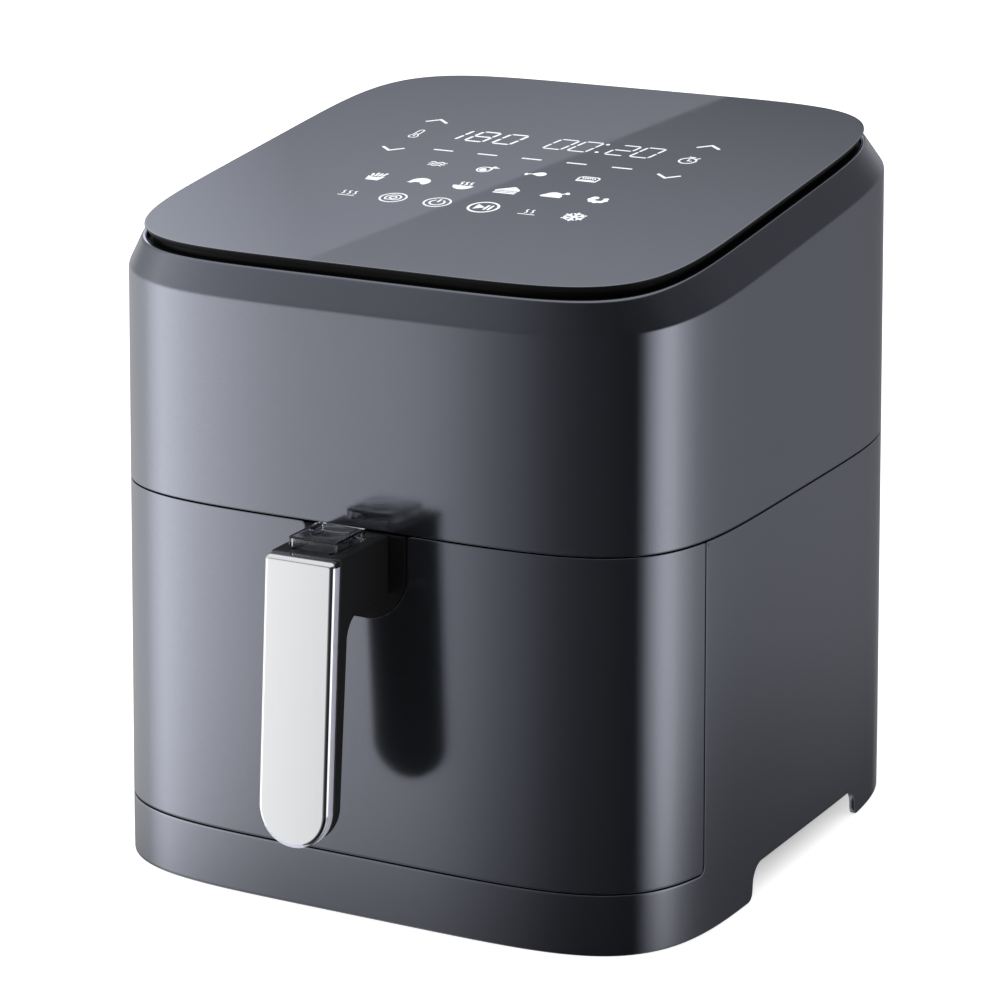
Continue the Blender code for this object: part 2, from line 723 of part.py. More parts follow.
def make_rails():
    shelf_low, shelf_high = RAIL_SHELF_Z
    foot_top = FLOOR_Z + RAIL_FOOT_THICK
    profile = [
        (RAIL_OUTER_X, FLOOR_Z),
        (RAIL_OUTER_X, RAIL_TOP_Z),
        (RAIL_WEB_X, RAIL_TOP_Z),
        (RAIL_WEB_X, shelf_high),
        (RAIL_INNER_X, shelf_high),
        (RAIL_INNER_X, shelf_low),
        (RAIL_WEB_X, shelf_low),
        (RAIL_WEB_X, foot_top),
        (RAIL_FOOT_X, foot_top),
        (RAIL_FOOT_X, FLOOR_Z),
    ]
    for name, side in (("right", 1), ("left", -1)):
        outline = [(side * x, z) for x, z in profile]
        extruded(f"drawer_rail_{name}", outline, "y", *RAIL_Y, "black_plastic")


# ---------------------------------------------------------------- heater and air ways
def make_dome():
    flange = DECK_Z + DECK_THICK + CLEAR
    inner = DOME_RADIUS - 0.0006
    outer = inner + SHEET
    eye = 0.0080
    profile = [
        (inner, flange),
        (DOME_FLANGE_RADIUS, flange),
        (DOME_FLANGE_RADIUS, flange + SHEET),
        (outer, flange + SHEET),
        (outer, DOME_SHOULDER_Z),
        (inner - 0.0055, DOME_ROOF_Z),
        (eye, DOME_ROOF_Z),
        (eye, DOME_ROOF_Z - SHEET),
        (inner - 0.0060, DOME_ROOF_Z - SHEET),
        (inner, DOME_SHOULDER_Z - 0.0005),
    ]
    dome = turned("heater_dome", profile, (0, 0, 0), "sheet_steel", steps=40)
    dome.rotation_euler.z = math.radians(DOME_TURN_DEG)
    cut(dome, middle_box("dome_outlet", 0.0405, (0.0500, 0.1200), (0.1823, 0.2047)))
    terminals = [polar(radius, angle) for radius, angle in zip(TERMINAL_RADII, TERMINAL_DEGS)]
    drill(dome, "z", terminals, 0.0050, 0.200, 0.220)


def make_coil():
    """Outer ring, a bend inwards and an inner ring back; both ends turn up to their terminals."""
    outer, inner = HEATER_RADII
    middle, half = (outer + inner) / 2, (outer - inner) / 2
    end_deg = 345
    bend_deg = math.degrees(half / middle)
    turned_deg = end_deg - bend_deg
    flat = arc_points((0, 0), outer, TERMINAL_DEGS[0], turned_deg, 24)
    for turn in (0.7, math.pi / 2, math.pi - 0.7):
        flat.append(polar(middle + half * math.cos(turn), turned_deg + bend_deg * math.sin(turn)))
    flat += arc_points((0, 0), inner, turned_deg, TERMINAL_DEGS[1] + 14, 18)
    flat.append(polar(TERMINAL_RADII[1], TERMINAL_DEGS[1]))
    route = [(*flat[0], TERMINAL_TOP_Z)]
    route += [(x, y, HEATER_Z) for x, y in flat]
    route.append((*flat[-1], TERMINAL_TOP_Z))
    tube("heater_coil", route, HEATER_TUBE_RADIUS, "element_steel", bevel_resolution=2)


def ring_wire(name, radius, slot=None):
    profile = arc_points((radius, 0), 0.0012, 90, -270, 5)
    return turned(name, profile, (0, 0, GUARD_RING_Z), slot, steps=24)


def make_heater_guard():
    """Three rings of wire on two crossed spokes, under the coil."""
    reach = GUARD_RING_RADII[0] - 0.0005
    guard = ring_wire("heater_guard", GUARD_RING_RADII[0], "sheet_steel")
    for number, radius in enumerate(GUARD_RING_RADII[1:], 1):
        join(guard, ring_wire(f"guard_ring_{number}", radius))
    for axis in "xy":
        join(guard, cylinder(f"guard_spoke_{axis}", (0, GUARD_RING_Z), axis, 0.0011, -reach, reach, sides=6))


def make_duct():
    duct = middle_box("exhaust_duct", DUCT_HALF_WIDTH, DUCT_Y, DUCT_Z, "sheet_steel")
    bore_z = (DUCT_Z[0] + SHEET, DUCT_Z[1] - SHEET)
    bore = middle_box("duct_bore", DUCT_HALF_WIDTH - SHEET, (0.090, 0.150), bore_z)
    dome_clear = cylinder("duct_end", (0, 0), "z", DOME_FLANGE_RADIUS + 0.0006, 0.15, 0.25, sides=64)
    cut(duct, bore, dome_clear)


def make_grille():
    grille = middle_box("rear_grille", GRILLE_HALF_WIDTH, GRILLE_Y, GRILLE_Z, "black_plastic")
    first = GRILLE_Z[0] + 0.0043
    for number in range(GRILLE_SLOTS):
        low = first + number * GRILLE_PITCH
        slot_z = (low, low + GRILLE_SLOT_HEIGHT)
        cut(grille, middle_box(f"grille_slot_{number + 1}", 0.048, (0.120, 0.150), slot_z))


# ---------------------------------------------------------------- fans and motor
def make_fans():
    bore = SHAFT_RADIUS + CLEAR
    cylinder("fan_shaft", (0, 0), "z", SHAFT_RADIUS, *SHAFT_Z, "fastener_steel", "fan", sides=16)
    low, high = FAN_Z
    under = high - SHEET
    disc = [(bore, high), (FAN_RADIUS, high), (FAN_RADIUS, under), (FAN_HUB_RADIUS, under),
            (FAN_HUB_RADIUS, low), (bore, low)]
    fan = turned("convection_fan", disc, (0, 0, 0), "sheet_steel", "fan")
    blade = (0.0515, 0.0012, 0.0103)
    join(fan, blades("convection_blades", 10, FAN_HUB_RADIUS - 0.0005, blade, (0.1925 + 0.2028) / 2, 0))
    low, high = COOLER_Z
    hub = [(bore, high), (COOLER_HUB_RADIUS, high), (COOLER_HUB_RADIUS, low), (bore, low)]
    cooler = turned("cooling_fan", hub, (0, 0, 0), "black_plastic", "fan", steps=24)
    blade = (COOLER_RADIUS - 0.0150, 0.0120, 0.0011)
    join(cooler, blades("cooling_blades", 8, 0.0150, blade, (0.2165 + 0.2192) / 2, COOLER_TWIST_DEG))
    nut_bore = bore + 0.0005
    nut = [(nut_bore, 0.1894), (0.0055, 0.1894), (0.0055, 0.1864), (nut_bore, 0.1864)]
    turned("fan_nut", nut, (0, 0, 0), "fastener_steel", "fan", steps=6)


def blades(name, count, inner, size, level, twist_deg):
    """Radial plates of size (length, width, height) in one mesh, each turned about its length."""
    bm = bmesh.new()
    scale = Matrix.Diagonal((*size, 1.0))
    place = Matrix.Translation((inner + size[0] / 2, 0, level))
    tilt = Matrix.Rotation(math.radians(twist_deg) / 2, 4, "X")
    for number in range(count):
        turn = Matrix.Rotation(2 * math.pi * number / count, 4, "Z")
        bmesh.ops.create_cube(bm, size=1.0, matrix=turn @ place @ tilt @ scale)
    return from_bmesh(name, bm, None, "fan")


def make_motor():
    low, high = MOTOR_Z
    edge = 0.0020
    profile = [(0, high), (MOTOR_RADIUS - edge, high), (MOTOR_RADIUS, high - edge),
               (MOTOR_RADIUS, low + edge), (MOTOR_RADIUS - edge, low), (0, low)]
    turned("motor", profile, (0, 0, 0), "sheet_steel")


def make_motor_bracket():
    """Sheet bridge over the cooling fan, with its toes on the heater dome's roof."""
    foot = DOME_ROOF_Z + CLEAR
    toe_top = foot + SHEET
    under = BRACKET_TOP_Z - BRACKET_SHEET
    leg = BRACKET_REACH - 0.0016
    right = [(leg, under), (leg, toe_top), (BRACKET_TOE, toe_top), (BRACKET_TOE, foot), (BRACKET_REACH, foot),
             (BRACKET_REACH, BRACKET_TOP_Z)]
    left = [(-x, z) for x, z in reversed(right)]
    bracket = extruded("motor_bracket", right + left, "y", -0.0130, 0.0130, "sheet_steel")
    cut(bracket, cylinder("bracket_bore", (0, 0), "z", 0.0080, 0.220, 0.230, sides=16))
    drill(bracket, "z", MOTOR_SCREW_PLACES, 0.0020, 0.220, 0.230)


# ---------------------------------------------------------------- pan and basket
def make_pan():
    y_span = (PAN_FRONT_Y, PAN_BACK_Y)
    pan = open_tub("pan", PAN_HALF_WIDTH, y_span, (PAN_BOTTOM_Z, PAN_TOP_Z), PAN_WALL, PAN_RADIUS, "nonstick")
    rim_z = (PAN_TOP_Z - 0.0015, PAN_TOP_Z)
    rim = extruded("pan_rim", pan_outline(PAN_RIM_REACH), "z", *rim_z, axis_name="drawer")
    cut(rim, extruded("pan_rim_inside", pan_outline(-PAN_WALL / 2), "z", 0.13, 0.17, axis_name="drawer"))
    join(pan, rim)
    drill(pan, "y", PAN_SCREW_PLACES, 0.0020, -0.130, -0.110, "drawer")


def pan_outline(grow):
    low = (-PAN_HALF_WIDTH - grow, PAN_FRONT_Y - grow)
    high = (PAN_HALF_WIDTH + grow, PAN_BACK_Y + grow)
    return rounded_rect(low, high, PAN_RADIUS + grow)


def make_basket():
    y_span = (BASKET_FRONT_Y, BASKET_BACK_Y)
    z_span = (BASKET_BOTTOM_Z, BASKET_TOP_Z)
    basket = open_tub("basket", BASKET_HALF_WIDTH, y_span, z_span, BASKET_WALL, BASKET_RADIUS, "nonstick")
    cut(basket, floor_holes())
    drill(basket, "y", RIVET_PLACES, 0.0018, -0.120, -0.110, "drawer")


def floor_holes():
    middle_y = (BASKET_FRONT_Y + BASKET_BACK_Y) / 2
    half_count = (BASKET_HOLES_A_SIDE - 1) / 2
    radius = BASKET_HOLE_RADIUS
    holes = bmesh.new()
    for column in range(BASKET_HOLES_A_SIDE):
        for row in range(BASKET_HOLES_A_SIDE):
            x = (column - half_count) * BASKET_HOLE_PITCH
            y = middle_y + (row - half_count) * BASKET_HOLE_PITCH
            place = Matrix.Translation((x, y, BASKET_BOTTOM_Z))
            bmesh.ops.create_cone(holes, cap_ends=True, segments=6, radius1=radius, radius2=radius,
                                  depth=0.01, matrix=place)
    return from_bmesh("basket_floor_holes", holes, None, "drawer")


def make_basket_bracket():
    """Folded strip that hooks over the pan's rim and carries the handle."""
    profile = [(-0.1242, 0.1425), (-0.1230, 0.1425), (-0.1230, 0.1515), (-0.1154, 0.1515),
               (-0.1154, 0.1595), (-0.1165, 0.1595), (-0.1165, 0.1527), (-0.1230, 0.1527),
               (-0.1230, 0.1600), (-0.1242, 0.1600)]
    half = BRACKET_HALF_WIDTH
    bracket = extruded("basket_bracket", profile, "x", -half, half, "sheet_steel", "drawer")
    drill(bracket, "y", RIVET_PLACES, 0.0018, -0.119, -0.110, "drawer")
    drill(bracket, "y", HANDLE_SCREW_PLACES, 0.0018, -0.130, -0.120, "drawer")


# ---------------------------------------------------------------- handle
def plate_face_y(z, behind_face=0.0):
    """Y of the leaning front plate's face at a height, or of a plane behind it."""
    return HANDLE_FRONT_Y - HANDLE_LEAN * (HANDLE_LEAN_Z - z) + behind_face


def keep_handle_outline(bar, name):
    """Trims a blank to the handle's front view: a bar with a round lower end."""
    half = HANDLE_HALF_WIDTH
    outline = [(half, HANDLE_TOP_Z), (-half, HANDLE_TOP_Z)]
    outline += arc_points((0, HANDLE_BOTTOM_Z + half), half, 180, 360, 12)
    boolean(bar, extruded(name, outline, "y", -0.25, -0.10, axis_name="drawer"), "INTERSECT")


def make_handle_plate():
    low, high = HANDLE_BLANK_Z, HANDLE_TOP_Z
    slab = [(plate_face_y(low), low), (plate_face_y(low, PLATE_THICK), low),
            (plate_face_y(high, PLATE_THICK), high), (plate_face_y(high), high)]
    half = HANDLE_BLANK_HALF_WIDTH
    plate = extruded("handle_plate", slab, "x", -half, half, "chrome_plate", "drawer")
    keep_handle_outline(plate, "plate_outline")
    chamfer = plate.modifiers.new("face_chamfer", "BEVEL")
    chamfer.width = PLATE_CHAMFER
    chamfer.segments = 1
    chamfer.limit_method = "ANGLE"
    chamfer.angle_limit = math.radians(60)


def make_handle_grip():
    """Back of the handle and the arm that joins it to the boss, with the latch's ways cut in."""
    front = PLATE_THICK + CLEAR
    low, high = HANDLE_BLANK_Z, HANDLE_TOP_Z
    low_back = GRIP_BACK_Y - GRIP_BACK_LEAN * (GRIP_BACK_Z - low)
    fillet_centre = (GRIP_BACK_Y + 0.0008 + ARM_FILLET, ARM_BOTTOM_Z - ARM_FILLET)
    profile = [(plate_face_y(high, front), high), (plate_face_y(low, front), low), (low_back, low)]
    profile += arc_points(fillet_centre, ARM_FILLET, 180, 90, 6)
    profile += [(ARM_BACK_Y, ARM_BOTTOM_Z), (ARM_BACK_Y, high)]
    half = HANDLE_BLANK_HALF_WIDTH
    grip = extruded("handle_grip", profile, "x", -half, half, "black_plastic", "drawer")
    keep_handle_outline(grip, "grip_outline")
    cavity_y, cavity_z = (-0.1665, -0.1300), (0.1445, LATCH_WAY_TOP_Z)
    cavity = middle_box("latch_cavity", LATCH_WAY_HALF_WIDTH, cavity_y, cavity_z, axis_name="drawer")
    button_hole = cylinder("button_hole", (0, BUTTON_Y), "z", BUTTON_RADIUS + CLEAR, 0.1590, 0.1800,
                           axis_name="drawer")
    cut(grip, cavity, button_hole)
    half_slot = RUNNER_HALF_WIDTH + CLEAR
    for name, x in (("left", -RUNNER_X), ("right", RUNNER_X)):
        low_corner = (x - half_slot, -0.1726, 0.1640)
        high_corner = (x + half_slot, -0.1495, 0.1800)
        cut(grip, box(f"guard_slot_{name}", low_corner, high_corner, axis_name="drawer"))
    drill(grip, "y", HANDLE_SCREW_PLACES, 0.0018, -0.149, -0.130, "drawer")


def make_handle_boss():
    """U-shaped block in the notch, with the slot that the latch lever moves in."""
    outline = notch_outline(-CLEAR, HANDLE_TOP_Z)
    boss = extruded("handle_boss", outline, "y", BOSS_FRONT_Y, BOSS_BACK_Y, "black_plastic", "drawer")
    way_z = (0.12, LATCH_WAY_TOP_Z)
    slot = middle_box("boss_slot", LATCH_WAY_HALF_WIDTH, (-0.15, -0.12), way_z, axis_name="drawer")
    cut(boss, slot)
    drill(boss, "x", [(LATCH_Y, LATCH_Z)], LATCH_PIN_RADIUS + CLEAR, -0.0120, 0.0120, "drawer")
    drill(boss, "y", HANDLE_SCREW_PLACES, 0.0018, -0.15, -0.12, "drawer")
    pin = (LATCH_Y, LATCH_Z)
    cylinder("latch_pin", pin, "x", LATCH_PIN_RADIUS, -0.0114, 0.0114, "fastener_steel", "drawer", 12)


def make_latch_lever():
    """Long arm under the button, an eye on the pin and a hook down behind the catch."""
    profile = [(-0.1585, 0.1492), (-0.1372, 0.1492), (-0.1372, 0.1478), (-0.1290, 0.1478),
               (-0.1290, 0.1358), (-0.1302, 0.1358), (-0.1302, 0.1345), (-0.1270, 0.1345),
               (-0.1270, 0.1512), (-0.1290, 0.1522), (-0.1372, 0.1522), (-0.1372, 0.1512),
               (-0.1585, 0.1512)]
    lever = extruded("latch_lever", profile, "x", -0.0040, 0.0040, "black_plastic", "latch")
    drill(lever, "x", [(LATCH_Y, LATCH_Z)], LATCH_PIN_RADIUS + CLEAR, -0.01, 0.01, "latch")


def make_latch_catch():
    """Hooked tongue on the drawer that the lever's hook holds on to."""
    profile = [(-0.1322, 0.1080), (-0.1306, 0.1080), (-0.1306, 0.1366), (-0.1294, 0.1366),
               (-0.1294, 0.1390), (-0.1322, 0.1390)]
    catch = extruded("latch_catch", profile, "x", -0.0030, 0.0030, "fastener_steel", "drawer")
    join(catch, middle_box("catch_foot", 0.0120, (-0.1322, -0.1306), (0.1080, 0.1285), axis_name="drawer"))


def make_latch_spring():
    low, high = 0.1452, 0.1485
    steps_per_turn = 10
    steps = SPRING_TURNS * steps_per_turn
    route = []
    for step in range(steps + 1):
        x, y = polar(SPRING_RADIUS, 360 * step / steps_per_turn)
        route.append((x, SPRING_Y + y, low + (high - low) * step / steps))
    tube("latch_spring", route, 0.0003, "fastener_steel", "drawer")


def make_release_button():
    top_radius = 0.0040
    top_edge = 0.0008
    profile = [(0, BUTTON_TOP_Z), (top_radius, BUTTON_TOP_Z), (BUTTON_RADIUS, BUTTON_TOP_Z - top_edge),
               (BUTTON_RADIUS, BUTTON_SKIRT_Z), (BUTTON_STEM_RADIUS, BUTTON_SKIRT_Z),
               (BUTTON_STEM_RADIUS, BUTTON_STEM_Z), (0, BUTTON_STEM_Z)]
    turned("release_button", profile, (0, BUTTON_Y, 0), "black_plastic", "button", steps=24)


def make_button_guard():
    """Clear slider with a thumb dish, on two runners that sit in the arm's slots."""
    y_span = (GUARD_FRONT_Y, GUARD_BACK_Y)
    z_span = (HANDLE_TOP_Z + CLEAR, GUARD_TOP_Z)
    guard = middle_box("button_guard", GUARD_HALF_WIDTH, y_span, z_span, "clear_plastic", "guard")
    round_edges(guard, GUARD_EDGE)
    dish = bmesh.new()
    centre = Matrix.Translation((0, DISH_Y, GUARD_TOP_Z + DISH_RADIUS - DISH_DEPTH))
    bmesh.ops.create_uvsphere(dish, u_segments=32, v_segments=24, radius=DISH_RADIUS, matrix=centre)
    cut(guard, from_bmesh("thumb_dish", dish, None, "guard"))
    for name, x in (("left", -RUNNER_X), ("right", RUNNER_X)):
        low = (x - RUNNER_HALF_WIDTH, -0.1580, 0.1645)
        high = (x + RUNNER_HALF_WIDTH, -0.1500, 0.1690)
        join(guard, box(f"guard_runner_{name}", low, high, axis_name="guard"))


# ---------------------------------------------------------------- fasteners and small parts
def screw(name, place, direction, axis_name="body", length=0.006, head=0.0030):
    """Round-headed screw whose head sits at place and whose shank points along direction."""
    shank = 0.0014
    profile = [(0, 0.0012), (head * 0.7, 0.0012), (head, 0.0004), (head, 0.0), (shank, 0.0),
               (shank, -length), (0, -length)]
    made = turned(name, profile, place, "fastener_steel", axis_name, steps=8)
    made.rotation_euler = Vector(direction).to_track_quat("-Z", "Y").to_euler()


def make_screws():
    up, forward = (0, 0, 1), (0, -1, 0)
    for number, (x, y) in enumerate(BASE_SCREW_PLACES, 1):
        screw(f"base_screw_{number}", (x, y, BASE_Z - CLEAR), up)
    for number, (x, y) in enumerate(MOTOR_SCREW_PLACES, 1):
        screw(f"motor_screw_{number}", (x, y, BRACKET_TOP_Z - BRACKET_SHEET - CLEAR), up, length=0.0018)
    pan_inside = PAN_FRONT_Y + PAN_WALL + CLEAR
    for name, (x, z) in zip(("left", "right"), PAN_SCREW_PLACES):
        screw(f"pan_screw_{name}", (x, pan_inside, z), forward, "drawer", length=0.0085)
    for number, (x, z) in enumerate(HANDLE_SCREW_PLACES, 1):
        screw(f"handle_screw_{number}", (x, -0.1226, z), forward, "drawer", length=0.0240, head=0.0026)


def make_rivets():
    profile = [(0, 0.0010), (0.0024, 0.0008), (0.0026, 0.0), (0.0014, 0.0), (0.0014, -0.0032), (0, -0.0032)]
    inside = BASKET_FRONT_Y + 0.0016
    for number, (x, z) in enumerate(RIVET_PLACES, 1):
        rivet = turned(f"bracket_rivet_{number}", profile, (x, inside, z), "fastener_steel", "drawer", 12)
        rivet.rotation_euler.x = math.radians(-90)


def make_sensors():
    """Probe through the deck, fuse on the dome's roof and the switch behind the liner."""
    probe = [(0, 0.1840), (0.0024, 0.1840), (0.0024, 0.1740), (0.0048, 0.1740), (0.0048, 0.1710),
             (0.0024, 0.1710), (0.0024, 0.1615), (0, 0.1605)]
    turned("temperature_sensor", probe, (*PROBE_PLACE, 0), "sheet_steel", steps=16)
    roof = DOME_ROOF_Z + 0.0005
    fuse = box("thermal_fuse", (-0.030, 0.060, roof), (-0.012, 0.068, roof + 0.0040), "sheet_steel")
    round_edges(fuse, 0.001)
    switch = middle_box("drawer_switch", 0.0100, (0.1155, 0.1225), (0.1150, 0.1300), "black_plastic")
    join(switch, middle_box("switch_terminals", 0.0070, (0.1210, 0.1216), (0.1295, 0.1340)))


# ---------------------------------------------------------------- assembly
root = empty("air_fryer_origin", (0, PLAN_CENTRE_Y, 0))
AXES = {
    "body": root,
    "drawer": empty("drawer_axis", (0, 0, PAN_BOTTOM_Z), root),
    "fan": empty("fan_axis", (0, 0, FAN_Z[0]), root),
    "button": empty("button_axis", (0, BUTTON_Y, BUTTON_TOP_Z), root),
    "guard": empty("guard_axis", (0, GUARD_BACK_Y, HANDLE_TOP_Z), root),
    "latch": empty("latch_axis", (0, LATCH_Y, LATCH_Z), root),
}

make_materials()
make_upper_housing()
make_lower_housing()
make_drawer_front()
make_base()
make_feet()
make_gland()
make_panel()
make_control_board()
make_power_board()
make_liner()
make_deck()
make_opening_frame()
make_rails()
make_dome()
make_coil()
make_heater_guard()
make_duct()
make_grille()
make_fans()
make_motor()
make_motor_bracket()
make_pan()
make_basket()
make_basket_bracket()
make_handle_plate()
make_handle_grip()
make_handle_boss()
make_latch_lever()
make_latch_catch()
make_latch_spring()
make_release_button()
make_button_guard()
make_screws()
make_rivets()
make_sensors()
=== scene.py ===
"""Looks of the countertop air fryer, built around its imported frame.

Every place and size comes from the frame's own boxes where it can. The outer shells are drawn in a
flat (length, height) chart of the wall and then wrapped round the body's soft square plan.
"""

import bisect
import json
import math

import bmesh
import bpy
from mathutils import Matrix, Vector
from mathutils.geometry import delaunay_2d_cdt


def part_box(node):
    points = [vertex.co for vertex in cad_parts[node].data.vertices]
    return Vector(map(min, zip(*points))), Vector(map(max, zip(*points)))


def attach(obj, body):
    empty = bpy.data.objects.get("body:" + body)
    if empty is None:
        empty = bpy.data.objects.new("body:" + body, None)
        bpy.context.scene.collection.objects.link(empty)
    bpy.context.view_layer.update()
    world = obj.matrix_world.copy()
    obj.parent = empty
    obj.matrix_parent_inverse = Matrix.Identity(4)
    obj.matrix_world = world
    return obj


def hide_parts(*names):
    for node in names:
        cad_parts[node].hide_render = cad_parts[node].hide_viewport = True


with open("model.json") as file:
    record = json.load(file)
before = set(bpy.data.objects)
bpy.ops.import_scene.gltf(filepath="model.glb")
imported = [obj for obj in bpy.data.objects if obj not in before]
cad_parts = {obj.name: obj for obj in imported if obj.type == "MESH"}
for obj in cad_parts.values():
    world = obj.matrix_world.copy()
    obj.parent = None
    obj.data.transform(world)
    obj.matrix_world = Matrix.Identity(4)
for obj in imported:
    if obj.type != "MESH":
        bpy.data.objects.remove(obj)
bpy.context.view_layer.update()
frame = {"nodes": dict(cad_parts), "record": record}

# ---------------------------------------------------------------- sizes read from the frame
UPPER_LOW, UPPER_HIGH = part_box("upper_housing")
LOWER_LOW, LOWER_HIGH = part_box("lower_housing")
FRONT_LOW, FRONT_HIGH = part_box("drawer_front")
GLASS_LOW, GLASS_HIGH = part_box("touch_glass")
PLATE_LOW, PLATE_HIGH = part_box("handle_plate")
GRIP_LOW, GRIP_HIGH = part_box("handle_grip")
BOSS_LOW, BOSS_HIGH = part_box("handle_boss")
GUARD_LOW, GUARD_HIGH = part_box("button_guard")
BUTTON_LOW, BUTTON_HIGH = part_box("release_button")
GRILLE_LOW, GRILLE_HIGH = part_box("rear_grille")
GLAND_LOW, GLAND_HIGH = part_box("cord_gland")
PAN_LOW, PAN_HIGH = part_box("pan")
BASKET_LOW, BASKET_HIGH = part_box("basket")

CENTRE_Y = (UPPER_LOW.y + UPPER_HIGH.y) / 2
HALF_WIDTH = UPPER_HIGH.x
HALF_DEPTH = (UPPER_HIGH.y - UPPER_LOW.y) / 2
SPLIT_Z = (UPPER_LOW.z + LOWER_HIGH.z) / 2
SEAM = UPPER_LOW.z - LOWER_HIGH.z

# ---------------------------------------------------------------- sizes of the body
PLAN_EXPONENT = 5.07          # superellipse of the body's plan
WALL_FLARE = 0.105            # growth of the plan per metre below the split
WALL = 0.0025
EDGE = 0.00014                # rounding of the shells' edges at the seams
TRIM = 0.00015                # how far the drawn shells reach into the gap between them
SKIRT_EDGE = 0.0006           # rounding of the skirt's lower edge
SKIRT_LOW_Z = 0.0001          # the skirt's lower edge, just clear of the floor
SKIRT_TOP_Z = 0.0335          # below this the wall spreads more slowly
SKIRT_CURVE = 0.3             # with 1 the skirt would be as wide at the floor as at its top
SUPPORT = 0.0007              # flat strip beside a rounded edge, which keeps its shading crisp
BACK_EDGE = 0.0004            # rounding of a shell's inner edge
CHART_STEP = 0.0024           # spacing of the wall's points along the plan
CHART_RISE = 0.0072           # spacing of the wall's points up the wall
EDGE_DISTANCE = 0.55          # least distance between them and an outline, in steps
WELD = 0.00001                # points closer than this are joined where a shell's ends meet

ARCH_FRONT = -0.0460          # the foot arch, from the plan's centre
ARCH_REAR = 0.061
ARCH_FRONT_Z = 0.0150
ARCH_REAR_Z = 0.0132
ARCH_RADIUS = 0.008
ARCH_TOE_RADIUS = 0.0040      # rounding where the arch's ends meet the skirt's lower edge
ARCH_SLANT = 0.0012           # the arch's ends lean outwards by this much
DRAWER_CORNER = 0.0022
DRAWER_TOP_CORNER = 0.0008
SIDE_CORNER = 0.0006          # the lower shell's corner beside the drawer, at the split
NOTCH_HALF_WIDTH = 0.0234
NOTCH_BOTTOM_Z = 0.1300
NOTCH_RADIUS = 0.0195
NOTCH_LIP_RADIUS = 0.0022

WINDOW_GAP = 0.0005           # clearance round the vent grille
WINDOW_LOW_Z = GRILLE_LOW.z - WINDOW_GAP
WINDOW_HIGH_Z = GRILLE_HIGH.z + WINDOW_GAP
WINDOW_HALF_WIDTH = GRILLE_HIGH.x + WINDOW_GAP

GLASS_THICK = 0.0026
GLASS_EXPONENT = 5.6
GLASS_HALF_WIDTH = GLASS_HIGH.x
GLASS_HALF_DEPTH = (GLASS_HIGH.y - GLASS_LOW.y) / 2
GLASS_CENTRE_Y = (GLASS_HIGH.y + GLASS_LOW.y) / 2
PANEL_SLOPE = (GLASS_HIGH.z - GLASS_LOW.z - GLASS_THICK) / (GLASS_HIGH.y - GLASS_LOW.y)
GLASS_Z = GLASS_HIGH.z - PANEL_SLOPE * (GLASS_HIGH.y - CENTRE_Y)
LIP_DROP = 0.0050
LIP_RADIUS = 0.0013
LIP_START_DEG = 18            # turns of the lip's arc, from the shoulder's end over its top
LIP_END_DEG = 130
LIP_STEPS = 6
LIP_SUPPORT = 0.0005          # width of the last strip of the shoulder, beside the lip
SHOULDER_DROP = 0.0176
CREASE_REACH = 0.0012         # half length of the soft bend between wall and shoulder
LEDGE_DROP = 0.0076           # ledge under the glass
LEDGE_REACH = 0.0080
LEDGE_THICK = 0.0025

HANDLE_HALF_WIDTH = PLATE_HIGH.x
HANDLE_TOP_Z = PLATE_HIGH.z
HANDLE_BOTTOM_Z = PLATE_LOW.z
PLATE_THICK = 0.0051
PLATE_BANDS = ((0.00088, 0.00080), (0.00040, 0.00085))    # bands round the face: reach sideways, then back
PLATE_SUPPORT = 0.0006        # flat strips beside the plate's edges
PLATE_CREASE = 0.00008
PLATE_CREASE_STRIP = 0.00007
# the lower left of the plate's bands, left of and below these, takes the sides' lighter lilac tint: painted
# sheen
PLATE_SHEEN_X = HANDLE_HALF_WIDTH * 0.35
PLATE_SHEEN_Z = HANDLE_BOTTOM_Z + HANDLE_HALF_WIDTH * 0.5
PLATE_DRAFT = 0.00022         # the sides widen by this much towards the grip
PLATE_CORNER = 0.0025
HANDLE_LEAN = 0.080           # the plate's lower end stands this much further forward, per metre of height
PLATE_TOP_Y = PLATE_LOW.y + HANDLE_LEAN * (HANDLE_TOP_Z - HANDLE_BOTTOM_Z)
PLATE_GAP = 0.0004            # between the plate and the grip behind it
ARM_THICK = 0.0248
ARM_FILLET = 0.0110
FINGER_FACE_Y = 0.1732        # the grip's back stands this far ahead of the plan's centre at FINGER_FACE_Z
FINGER_FACE_Z = 0.1241
FINGER_FACE_LEAN = 0.0986
OVERSHOOT = 0.010             # cutting solids stand this far past what they cut
BUTTON_GAP = 0.0004
BUTTON_WELL = 0.0080
RUNNER_X = 0.0085             # the guard's two runners and their slots in the arm
RUNNER_HALF_WIDTH = 0.0007
SLOT_HALF_WIDTH = 0.0011
SLOT_DEPTH = 0.0023
GUARD_WALL = 0.0013
GUARD_ROOF = 0.0011
DISH_RADIUS = 0.0172          # the thumb dish is part of a ball
DISH_DEPTH = 0.0021
DISH_Y = CENTRE_Y - 0.1585


# ---------------------------------------------------------------- node helpers
def node(tree, kind, inputs=None, **settings):
    """New shader node; an input takes a value or another node's output."""
    made = tree.nodes.new(kind)
    for key, value in settings.items():
        setattr(made, key, value)
    for key, value in (inputs or {}).items():
        if isinstance(value, bpy.types.NodeSocket):
            tree.links.new(value, made.inputs[key])
        else:
            made.inputs[key].default_value = value
    return made


def calc(tree, operation, *values):
    return node(tree, "ShaderNodeMath", dict(enumerate(values)), operation=operation).outputs[0]


